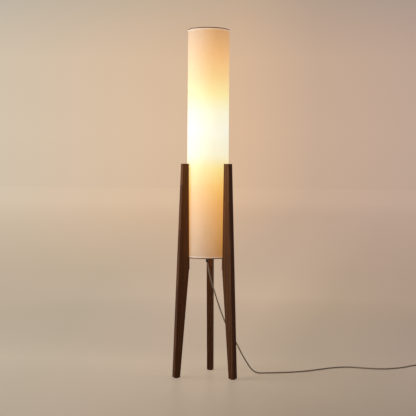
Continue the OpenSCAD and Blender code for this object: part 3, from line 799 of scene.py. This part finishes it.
# %% Three area lamps
def lamp_object(name, data, place):
    lamp = new_object(name, data)
    lamp.location = place
    lamp.visible_camera = False
    return lamp


def area_lamp(name, turn, far, height, aim, size, power, colour, shines=True):
    data = bpy.data.lights.new(name, "AREA")
    data.shape = "RECTANGLE"
    data.size, data.size_y = size
    data.energy = power
    data.color = colour
    place = spoke(math.radians(turn)) * far + upwards * height
    lamp = lamp_object(name, data, place)
    lamp.rotation_mode = "QUATERNION"
    lamp.rotation_quaternion = (upwards * aim - place).to_track_quat("-Z", "Y")
    lamp.visible_glossy = shines
    print(name, power, "W")


area_lamp("window", -161, 3.0, 1.8, 0.65, (2.6, 1.4), 62, (0.90, 0.97, 1.0))
area_lamp("low_fill", -122, 1.7, 0.45, 0.45, (0.7, 0.5), 5.2, (0.90, 0.96, 1.0), False)
area_lamp("bounce", 14, 2.7, 1.3, 0.8, (1.6, 1.8), 12, (0.50, 0.72, 1.0), False)

# %% [markdown]
# The last light is the lamp itself. Light carried through film and cloth would be slow and
# noisy. Instead the shade's skins cast no shadow, and a soft ball of warm light as wide as the
# shade sits round the bulb.

# %% Light through the shade
for see_through in (shade_sheet, nodes["shade_liner"], *hem_tapes):
    see_through.visible_shadow = False
bulb_low, bulb_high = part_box("bulb_glass")
glow_data = bpy.data.lights.new("bulb_light", "POINT")
glow_data.energy = 3.8
glow_data.color = (1.0, 0.78, 0.28)
glow_data.shadow_soft_size = 0.075
bulb_light = lamp_object("bulb_light", glow_data, upwards * (bulb_low.z + bulb_high.z) / 2)
print("bulb light at", round(bulb_light.location.z, 3))

# %% [markdown]
# Close to the lamp the floor is an ordinary lit surface, with its shadows and a soft
# reflection of the feet. Far away it fades into the room's tone, or the horizon would show as
# a line. The fade depends on the distance from the lamp.

# %% Floor
reach = 400.0
corners = [(-reach, -reach, 0), (reach, -reach, 0), (reach, reach, 0), (-reach, reach, 0)]
floor_mesh = bpy.data.meshes.new("floor")
floor_mesh.from_pydata(corners, [], [(0, 1, 2, 3)])
floor = new_object("floor", floor_mesh)
ground = new_finish("floor_paint", screen(218, 202, 184), 0.38, Specular_IOR_Level=0.22)
floor_mesh.materials.append(ground)
print("floor laid")

# %% The floor's place and its tones
floor_place = add_node(ground, "ShaderNodeTexCoord").outputs["Object"]
floor_xyz = xyz_of(ground, floor_place)
away = vector_maths(ground, "LENGTH", floor_place)["Value"]
# Far away this is the direction's x, and near the lamp it changes slowly
room_depth = 4.0
spread = maths(ground, "ADD", away, room_depth)
sideways = maths(ground, "DIVIDE", floor_xyz["X"], spread)
# The floor is darker and less orange near by, and reaches the room's tone far away
log_away = maths(ground, "LOGARITHM", maths(ground, "ADD", away, 0.5), 10.0)
far_share = maths(ground, "DIVIDE", log_away, 2.4)
depth_stops = ((0.0, 0.84), (0.18, 0.76), (0.30, 0.77), (0.50, 0.87), (0.68, 0.97))
depth_tone = greys(ground, far_share, *depth_stops)
# Painted light: the near floor is more orange round the lamp and darker to the right, away from
# the key
near_tones = (
    (0.30, (0.64, 0.53, 0.40)),
    (0.42, (0.74, 0.56, 0.42)),
    (0.51, (0.74, 0.55, 0.40)),
    (0.59, (0.60, 0.45, 0.32)),
    (0.70, (0.53, 0.39, 0.30)),
)
near_tone = side_tone(ground, sideways, near_tones)
far_tone = side_tone(ground, sideways)
room_share = greys(ground, far_share, (0.18, 0.0), (0.36, 0.55), (0.55, 1.0))
# Painted light and shade: the floor is darker in front of the lamp and lighter just behind it
front_stops = ((0.06, 0.86), (0.24, 1.06), (0.32, 1.15), (0.42, 1.10), (0.87, 1.03))
front_fall = greys(ground, scaled(ground, floor_xyz["Y"], 0.25, 0.25), *front_stops)
floor_tone = mixed(ground, "MIX", room_share, near_tone, far_tone)
floor_tone = times(ground, floor_tone, depth_tone, front_fall)
print("floor tones set")

# %% Lit near by, even far away
scuffs = shades(ground, cloud(ground, 3, detail=5), 0.985, 1.015)
# The lit floor carries the same painted front shade; the scuffs are its own marks
shaded(ground, front_fall, scuffs)
near_share = shades(ground, maths(ground, "DIVIDE", away, 4.0), 0.45, 1.0, 0.15, 0.7)
evenness = scaled(ground, seen_directly(ground), near_share)
floor_shader = principled(ground).outputs[0]
blended(
    ground, evenness, floor_shader, floor_tone, "ShaderNodeEmission", "Material Output"
)
print("the floor keeps its shadows near the lamp")

# %% [markdown]
# ## Walnut
#
# The legs are solid walnut with a thin satin oil. The figure is built as rings round a
# far-off tree axis, warped by noise and stretched along the leg. Fine streaks and open pores
# run with them. The pores are short dark dashes and slightly sunk.

# %% Figure, streaks and pores
walnut = new_finish("walnut_oiled", screen(104, 64, 40), 0.42, Specular_IOR_Level=0.09)
wood_place = add_node(walnut, "ShaderNodeTexCoord").outputs["Object"]
wood_normal = add_node(walnut, "ShaderNodeNewGeometry").outputs["Normal"]
tree_axis = {
    "Vector": wood_place,
    "Location": (0.31, 0.22, 0.0),
    "Rotation": (0.016, -0.022, 0.0),
    "Scale": (1.0, 1.0, 0.05),
}
rings = {
    "Vector": add_node(walnut, "ShaderNodeMapping", tree_axis).outputs["Vector"],
    "Scale": 44.0,
    "Distortion": 5.5,
    "Detail": 3.0,
    "Detail Scale": 0.55,
    "Detail Roughness": 0.55,
}
cut = {"wave_type": "RINGS", "rings_direction": "Z", "wave_profile": "SAW"}
growth = add_node(walnut, "ShaderNodeTexWave", rings, **cut).outputs["Fac"]
drift = cloud(walnut, (22, 22, 1.6), detail=4, warp=0.8)
streaks = cloud(walnut, (330, 330, 7), detail=6)
pores = cloud(walnut, (1100, 1100, 38), detail=2)
print("walnut patterns ready")

# %% Walnut colours
ring_colour = ramp(
    walnut,
    growth,
    (0.0, screen(116, 76, 48)),
    (0.45, screen(106, 68, 42)),
    (0.85, screen(87, 54, 33)),
    (1.0, screen(74, 45, 27)),
)
drift_shade = ramp(walnut, drift, (0.3, (0.74, 0.72, 0.72)), (0.7, (1.18, 1.12, 1.05)))
streak_shade = shades(walnut, streaks, 0.78, 1.16)
pore_shade = shades(walnut, pores, 0.42, 1.0, 0.33, 0.41)
wood = times(walnut, ring_colour, drift_shade, streak_shade)
wood = mixed(walnut, "MULTIPLY", 0.75, wood, pore_shade)
print("rings, drift, streaks and pores coloured")

# %% [markdown]
# The legs are painted lighter towards the top and darker towards the foot: painted light,
# standing for the shade's glow near their tops and dimmer light by the floor. Their long outer
# faces, found by faces that look away from the axis, are painted darker and redder: painted
# shade. End grain drinks more oil, so it is darker. The corners are a little paler from handling.

# %% Painted light by height, painted shade on outer faces, end grain and rubbed corners
# Painted light: the legs are lighter towards the top and darker towards the foot
painted_light_by_height = ramp(
    walnut,
    xyz_of(walnut, wood_place)["Z"],
    (0.0, (0.80, 0.74, 0.72)),
    (0.35, (0.92, 0.88, 0.86)),
    (0.75, (1.25, 1.22, 1.15)),
)
wood = times(walnut, wood, painted_light_by_height)
# Painted shade: faces that look away from the axis are darker and redder
flat_place = vector_maths(walnut, "MULTIPLY", wood_place, (1, 1, 0))["Vector"]
from_axis = vector_maths(walnut, "NORMALIZE", flat_place)["Vector"]
outward = vector_maths(walnut, "DOT_PRODUCT", wood_normal, from_axis)["Value"]
painted_outer_shade_mask = shades(walnut, outward, 0.0, 1.0, 0.6, 0.85)
painted_outer_shade = times(walnut, wood, (0.84, 0.72, 0.68))
wood = mixed(walnut, "MIX", painted_outer_shade_mask, wood, painted_outer_shade)
level = maths(walnut, "ABSOLUTE", xyz_of(walnut, wood_normal)["Z"])
end_grain = shades(walnut, level, 0.0, 1.0, 0.55, 0.8)
wood = mixed(walnut, "MULTIPLY", end_grain, wood, grey(0.38))
rubbed = edges(walnut, 0.0022, 2.2)
pale_share = scaled(walnut, rubbed, 0.22)
wood = mixed(walnut, "MIX", pale_share, wood, screen(136, 92, 60))
oil = scaled(walnut, streaks, 0.20, 0.34)
oil = maths(walnut, "SUBTRACT", oil, scaled(walnut, rubbed, 0.07))
paint(walnut, Base_Color=wood, Roughness=oil)
bumped(walnut, mixed(walnut, "MULTIPLY", 0.4, pore_shade, streak_shade), 0.00022)
wear(walnut, "walnut", "leg_left", "leg_right", "leg_rear")
print("walnut on the legs")

# %% [markdown]
# ## The glow along the shade
#
# The lamp inside makes the cloth glow: nearly white beside the bulb, then honey, then a soft
# orange towards both ends, and dimmer at the lower end, where the bracket and the lampholder
# stand in the way. The colours go into the shader's emission, height by height.

# %% Glow by height above the floor
glow_low, glow_high = 0.446, 1.30
glow_stops = (
    (0.45, (0.38, 0.14, 0.01)),
    (0.55, (0.56, 0.24, 0.04)),
    (0.65, (0.77, 0.35, 0.06)),
    (0.71, (0.87, 0.47, 0.09)),
    (0.78, (0.89, 0.68, 0.23)),
    (0.83, (0.90, 0.81, 0.55)),
    (0.92, (0.90, 0.84, 0.67)),
    (0.99, (0.90, 0.82, 0.56)),
    (1.05, (0.90, 0.74, 0.30)),
    (1.12, (0.87, 0.54, 0.18)),
    (1.20, (0.81, 0.41, 0.12)),
    (1.30, (0.57, 0.26, 0.07)),
)


def glow(finish, whiteness=0.0):
    tall = glow_high - glow_low
    stops = [
        ((height - glow_low) / tall, tuple(c + (colour[0] - c) * whiteness for c in colour))
        for height, colour in glow_stops
    ]
    above = maths(finish, "SUBTRACT", xyz_of(finish)["Z"], glow_low)
    return ramp(finish, maths(finish, "DIVIDE", above, tall), *stops)


def glowing(finish, shade, strength=1.0, whiteness=0.0):
    paint(finish, Emission_Color=times(finish, glow(finish, whiteness), shade))
    paint(finish, Emission_Strength=strength)


print("glow set at", len(glow_stops), "heights")

# %% [markdown]
# ## Cotton weave
#
# A plain weave is a chequerboard: on one square the warp thread lies on top, on the next the
# weft. Each thread is a half round, so the height is a sine across the thread. The pattern is
# laid on the tube by its angle and its height. Slubs, the thick places in cotton thread, are
# noise stretched along each thread.


# %% Weave pattern on a tube
def threads_round(step):
    return 2 * round(math.pi * cloth_outside / step)


def half_round(finish, place):
    wave = maths(finish, "SINE", scaled(finish, place, math.pi))
    return maths(finish, "ABSOLUTE", wave)


def weave(finish, warp_step, weft_step):
    xyz = xyz_of(finish)
    angle = maths(finish, "ARCTAN2", xyz["Y"], xyz["X"])
    warp_place = scaled(finish, angle, threads_round(warp_step) / full_turn)
    weft_place = maths(finish, "DIVIDE", xyz["Z"], weft_step)
    warp, weft = half_round(finish, warp_place), half_round(finish, weft_place)
    square = {0: warp_place, 1: weft_place, 2: 0.5}
    square = add_node(finish, "ShaderNodeCombineXYZ", square).outputs[0]
    checks = add_node(finish, "ShaderNodeTexChecker", {"Vector": square, "Scale": 1.0})
    warp_high = scaled(finish, warp, scaled(finish, weft, 0.5, 0.5))
    weft_high = scaled(finish, weft, scaled(finish, warp, 0.5, 0.5))
    on_top = {0: checks.outputs["Fac"], 2: warp_high, 3: weft_high}
    return add_node(finish, "ShaderNodeMix", on_top, data_type="FLOAT").outputs[0]


print("threads round the shade:", threads_round(0.0006))

# %% Shade cloth
cotton = (0.41, 0.46, 0.45)
cloth = new_finish("shade_cotton", cotton, 0.88, Specular_IOR_Level=0.18, Sheen_Weight=0.06)
threads = weave(cloth, 0.0006, 0.0006)
slub_up = cloud(cloth, (420, 420, 16), detail=3)
slub_round = cloud(cloth, (26, 26, 650), detail=3)
slubs = scaled(cloth, maths(cloth, "ADD", slub_up, slub_round), 0.5)
# Painted shade: low places between threads are darker; slubs and mottle are the cotton's own tone
cloth_shade = times(
    cloth,
    shades(cloth, slubs, 0.95, 1.04, 0.34, 0.66),
    shades(cloth, threads, 0.93, 1.03, 0.0, 0.8),
    shades(cloth, cloud(cloth, (9, 9, 5), detail=3), 0.97, 1.03),
)
shaded(cloth, cloth_shade)
glowing(cloth, cloth_shade)
bumped(cloth, maths(cloth, "ADD", slubs, threads), 0.00012, strength=0.8)
wear(cloth, "fabric", shade_sheet)
print("cotton on the shade")

# %% [markdown]
# The hem tape is denser and whiter than the sheet, and its ribs run across it. It covers two
# more layers, so less of the lamp's light comes through.

# %% Hem tape
tape = new_finish("hem_tape_cotton", (0.62, 0.62, 0.60), 0.85, Specular_IOR_Level=0.2)
tape_ribs = weave(tape, 0.0008, 0.0006)
# Painted shade: the low places between the ribs are darker
tape_shade = shades(tape, tape_ribs, 0.86, 1.04, 0.0, 0.8)
shaded(tape, tape_shade)
glowing(tape, tape_shade, whiteness=0.18)
bumped(tape, tape_ribs, 0.00018)
wear(tape, "hem", *hem_tapes)
print("hem tapes finished")

# %% [markdown]
# ## Inside the shade
#
# The film that lines the shade is smooth, with a faint cloudiness. Most of the light goes on
# through it into the cloth, so the film itself looks rather dim and warm.

# %% Lining film
film = new_finish("lampshade_film", (0.34, 0.31, 0.24), 0.42)
film_cloud = cloud(film, (60, 60, 20))
film_shade = shades(film, film_cloud, 0.95, 1.04)
shaded(film, film_shade)
glowing(film, film_shade, strength=0.8, whiteness=0.10)
grained(film, film_cloud, 0.16, 0.00015)
wear(film, "liner", "shade_liner")
print("film inside the cloth")

# %% [markdown]
# ## Metals
#
# One recipe makes every metal here: a fine noise shifts the colour a little, and another one
# changes the roughness. Stretched, it gives the marks that rolling, drawing or handling
# leaves. Only colour, roughness and the marks differ.

# %% Metal recipe
zinc_colour, brass_colour = (0.56, 0.57, 0.58), (0.68, 0.47, 0.19)


def metal(name, colour, roughness, marks=300, rounding=0.0004):
    finish = new_finish(name, colour, roughness, Metallic=1.0)
    shaded(finish, shades(finish, cloud(finish, 170, detail=5), 0.82, 1.08))
    grained(finish, cloud(finish, marks), 0.20, 0.00003, rounding)
    return finish


fixings = ("glide_nails", "lower_screws", "upper_screws", "stem_nuts", "stem_washers")
wear(metal("zinc_plated", zinc_colour, 0.36), "steel", *fixings, "switch_screws")
brass = metal("turned_brass", brass_colour, 0.30, (200, 200, 3000))
wear(brass, "brass", "leg_inserts", "holder_contact")
bright_wire = metal("spring_wire", (0.60, 0.60, 0.62), 0.24, 1500, rounding=0.0)
wear(bright_wire, "spring_steel", spring_piece)
wear(metal("nickel_plated", (0.66, 0.64, 0.59), 0.20, (900, 60, 900)), "pins", "plug_pins")
bronze = metal("dark_bronze", (0.150, 0.098, 0.066), 0.34, 500)
wear(bronze, "ring", "ring_top", "ring_bottom")
wear(metal("bulb_solder", (0.58, 0.57, 0.55), 0.38), "bulb_metal", "bulb_contact")
print("zinc, brass, spring wire, nickel, bronze and solder")

# %% [markdown]
# The threads of the stem and of both shells aren't in the mesh. A helix is a wave that moves up
# by one pitch for each turn, so its phase is the height over the pitch, less the angle over a
# turn.

# %% Threads as a bump
stem_pitch, shell_pitch = 0.001, 0.00363


def threaded(name, colour, roughness, pitch, depth):
    finish = new_finish(name, colour, roughness, Metallic=1.0)
    xyz = xyz_of(finish)
    angle = maths(finish, "ARCTAN2", xyz["Y"], xyz["X"])
    rise = scaled(finish, xyz["Z"], full_turn / pitch)
    thread = maths(finish, "SINE", maths(finish, "SUBTRACT", rise, angle))
    crest = scaled(finish, thread, 0.5, 0.5)
    # Painted shade: the grooves of the thread are darker than its crests
    painted_groove_shade = shades(finish, crest, 0.55, 1.0, 0.0, 0.6)
    dust = shades(finish, cloud(finish, 240, detail=5), 0.85, 1.06)
    shaded(finish, painted_groove_shade, dust, Roughness=scaled(finish, thread, -0.06, roughness))
    bumped(finish, thread, depth)
    return finish


wear(threaded("threaded_zinc", zinc_colour, 0.34, stem_pitch, 0.0003), "steel", "stem")
brass_shell = threaded("threaded_brass", brass_colour, 0.28, shell_pitch, 0.0006)
wear(brass_shell, "brass", "holder_shell")
light_shell = threaded("rolled_aluminium", grey(0.72), 0.26, shell_pitch, 0.0006)
wear(light_shell, "bulb_metal", "bulb_shell")
print("three threads, pitches in mm:", stem_pitch * 1000, shell_pitch * 1000)

# %% [markdown]
# ## Enamel
#
# The two brackets are steel under white enamel. Sprayed enamel has a soft ripple, called orange
# peel, and draws back a little from sharp edges, where a warm primer starts to show.

# %% White enamel
white, primer = (0.76, 0.74, 0.70), (0.58, 0.49, 0.38)
enamel = new_finish("white_enamel", white, 0.31, Coat_Weight=0.35)
drift_shade = shades(enamel, cloud(enamel, 45), 0.95, 1.03)
thin_edge = scaled(enamel, edges(enamel, 0.0007, 1.6), 0.35)
sprayed = times(enamel, white, drift_shade)
paint(enamel, Base_Color=mixed(enamel, "MIX", thin_edge, sprayed, primer))
grained(enamel, cloud(enamel, 420, detail=2), 0.14, 0.00006, 0.0006)
wear(enamel, "bracket", "lower_bracket", "upper_bracket")
print("enamel on both brackets")

# %% [markdown]
# ## Moulded plastics
#
# A mould gives plastic its skin: a fine pebble, spark-eroded into the steel. Colour hardly
# changes within one moulding, so the clouding is slight. Rubbed edges turn a little paler.


# %% Plastic recipe
def moulded(
    name, colour, roughness, pebble=2600, depth=0.00003, rounding=0.0005, paler=1.5, **sockets
):
    finish = new_finish(name, colour, roughness, **sockets)
    flow = shades(finish, cloud(finish, 70, warp=0.6), 0.88, 1.10)
    pale = tuple(min(1.0, c * paler + 0.004) for c in colour)
    rubbed = scaled(finish, edges(finish, rounding, 1.8), 0.4)
    clouded = times(finish, colour, flow)
    paint(finish, Base_Color=mixed(finish, "MIX", rubbed, clouded, pale))
    grained(finish, cloud(finish, pebble, detail=2), 0.16, depth, rounding)
    return finish


wear(moulded("black_nylon", (0.013, 0.0125, 0.012), 0.42), "grip", "cord_grip")
switch_brown = moulded("switch_brown", (0.030, 0.026, 0.023), 0.36, rounding=0.0012)
wear(switch_brown, "switch", "switch_base", "switch_cover")
button_brown = moulded("button_brown", (0.036, 0.031, 0.028), 0.30, 1200, rounding=0.0008)
wear(button_brown, "switch", "switch_button")
nylon_look = {"depth": 0.00002, "paler": 1.1, "Subsurface_Weight": 0.12}
natural_nylon = moulded("natural_nylon", (0.62, 0.57, 0.47), 0.40, **nylon_look)
wear(natural_nylon, "spacer", "lower_washers", "upper_spacers")
taupe = moulded("moulded_taupe", (0.27, 0.19, 0.132), 0.46, 1900, depth=0.00004)
wear(taupe, "plug", plug_piece, relief_plug, relief_in, relief_out, "pin_sleeves")
print("grip, switch, spacers and plug moulded")

# %% [markdown]
# The glides touch the floor, so they collect pale scuffs round their lower rim. The scuffs are
# a ramp of height, broken up by noise.

# %% Scuffed glides
glide_black, scuff_colour = (0.014, 0.012, 0.011), (0.075, 0.064, 0.055)
glide = new_finish("glide_nylon", glide_black, 0.55)
up_the_glide = scaled(glide, xyz_of(glide)["Z"], 400.0)
near_floor = shades(glide, up_the_glide, 1.0, 0.0, 0.0, 0.55)
scratches = cloud(glide, (900, 900, 250), detail=5)
scratches = shades(glide, scratches, 0.0, 1.0, 0.48, 0.62)
scuff = times(glide, near_floor, scratches)
paint(
    glide,
    Base_Color=mixed(glide, "MIX", scuff, glide_black, scuff_colour),
    Roughness=scaled(glide, scuff, 0.25, 0.48),
)
bumped(glide, scratches, 0.00004, 0.0005)
wear(glide, "glide", "glide_left", "glide_right", "glide_rear")
print("glides scuffed")

# %% [markdown]
# ## Phenolic and ceramic
#
# The lampholder is pressed from phenolic, a hard dark plastic with a faint swirl of its filler.
# The blocks that carry contacts are glazed ceramic, cream with tiny specks.

# %% Lampholder
phenolic = new_finish("black_phenolic", (0.014, 0.012, 0.011), 0.24, Coat_Weight=0.25)
swirl = cloud(phenolic, (95, 95, 30), detail=5, warp=2.5)
filler = ramp(phenolic, swirl, (0.35, (0.011, 0.0095, 0.009)), (0.65, (0.024, 0.018, 0.014)))
paint(phenolic, Base_Color=filler)
grained(phenolic, swirl, 0.16, 0.00005, 0.0006)
wear(phenolic, "holder", "holder_cap", "holder_body", "bulb_insulator")

glazed = new_finish("glazed_block", (0.74, 0.69, 0.59), 0.20, Coat_Weight=0.4)
specks = cloud(glazed, 1400, detail=2)
glaze_stops = (
    (0.24, (0.32, 0.26, 0.19)),
    (0.31, (0.70, 0.65, 0.55)),
    (0.70, (0.78, 0.73, 0.63)),
)
paint(
    glazed,
    Base_Color=ramp(glazed, specks, *glaze_stops),
    Roughness=scaled(glazed, specks, 0.12, 0.14),
)
bumped(glazed, cloud(glazed, 250, detail=3), 0.00005, 0.0005)
wear(glazed, "ceramic", "holder_insert", "switch_block")
print("phenolic and glaze ready")

# %% [markdown]
# ## The lamp bulb
#
# Opal glass glows evenly over its globe and dims down the neck, where less of the coated
# inside faces the filaments. The clear stem and the filament strips behind it are hardly seen,
# but they are there.

# %% Opal glass, clear glass and filaments
opal = new_finish("opal_glass", (0.93, 0.90, 0.84), 0.12, Coat_Weight=0.5)
neck, crown = (corner.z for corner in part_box("bulb_glass"))
above_neck = maths(opal, "SUBTRACT", xyz_of(opal)["Z"], neck)
opal_glow = ramp(
    opal,
    maths(opal, "DIVIDE", above_neck, crown - neck),
    (0.0, (0.30, 0.19, 0.08)),
    (0.22, (0.62, 0.47, 0.26)),
    (0.45, (0.95, 0.86, 0.66)),
    (0.85, (1.0, 0.93, 0.76)),
    (1.0, (0.96, 0.87, 0.68)),
)
coating = shades(opal, cloud(opal, 140, detail=3), 0.96, 1.03)
shaded(opal, coating, Emission_Color=times(opal, opal_glow, coating), Emission_Strength=2.2)
wear(opal, "opal_glass", "bulb_glass")

clear = new_finish("clear_glass", (0.93, 0.96, 0.96), 0.04, Transmission_Weight=0.85)
shaded(clear, shades(clear, cloud(clear, (380, 380, 120), detail=3), 0.93, 1.0))
wear(clear, "clear_glass", "bulb_stem")

phosphor = new_finish("phosphor_strip", (0.90, 0.62, 0.22), 0.5)
chips = cloud(phosphor, (300, 300, 900), detail=1)
hot = ramp(phosphor, chips, (0.35, (0.95, 0.55, 0.18)), (0.6, (1.0, 0.80, 0.45)))
paint(phosphor, Base_Color=hot, Emission_Color=hot, Emission_Strength=3.0)
wear(phosphor, "filament", "bulb_filaments")
print("the bulb glows over", round(crown - neck, 3), "m")

# %% [markdown]
# ## Sheath, cores and strap
#
# The lead's sheath is soft taupe plastic with very fine marks from the extruder, slight
# clouding, and a little dust. The two cores inside the switch and the holder are brown and
# blue, one on each side. The strap is a mat of tiny loops.

# %% Sheath
sheath = new_finish("lead_sheath", (0.31, 0.225, 0.158), 0.40)
skin_marks = cloud(sheath, 1500, detail=3)
clouding = shades(sheath, cloud(sheath, 35, detail=5), 0.90, 1.08)
dust = shades(sheath, skin_marks, 0.94, 1.05, 0.35, 0.65)
shaded(sheath, clouding, dust)
grained(sheath, skin_marks, 0.18, 0.00003)
wear(sheath, "cord", free_cord, coil, "inner_lead")
print("sheath on both lengths")

# %% Cores, one brown and one blue
core_brown, core_blue = (0.165, 0.062, 0.030), (0.030, 0.105, 0.330)


def core_finish(name, middle):
    finish = new_finish(name, core_brown, 0.38)
    side = maths(finish, "GREATER_THAN", xyz_of(finish)["X"], middle)
    colour = mixed(finish, "MIX", side, core_brown, core_blue)
    grain = cloud(finish, 900, detail=3)
    paint(finish, Base_Color=times(finish, colour, shades(finish, grain, 0.88, 1.08)))
    grained(finish, grain, 0.16, 0.00003)
    return finish


wear(core_finish("cores_in_holder", 0.0), "core", "lead_cores")
wear(core_finish("cores_in_switch", cord_end.x), "core", "switch_cores")
print("cores coloured")

# %% Strap
felt = new_finish("strap_loops", (0.020, 0.018, 0.016), 0.90, Sheen_Weight=0.35)
mat = {"Vector": spot(felt), "Scale": 1900.0}
loops = add_node(felt, "ShaderNodeTexVoronoi", mat).outputs["Distance"]
loop_colour = ramp(felt, loops, (0.0, (0.034, 0.030, 0.027)), (0.7, (0.010, 0.009, 0.008)))
paint(felt, Base_Color=loop_colour)
grained(felt, loops, -0.10, 0.00035)
wear(felt, "tie", tie_piece)
print("strap finished")

# %% [markdown]
# ## Bring the scene up to date
#
# Every piece that shows needs a finish made of nodes. Last, Blender brings the view layer up
# to date.


bpy.context.view_layer.update()
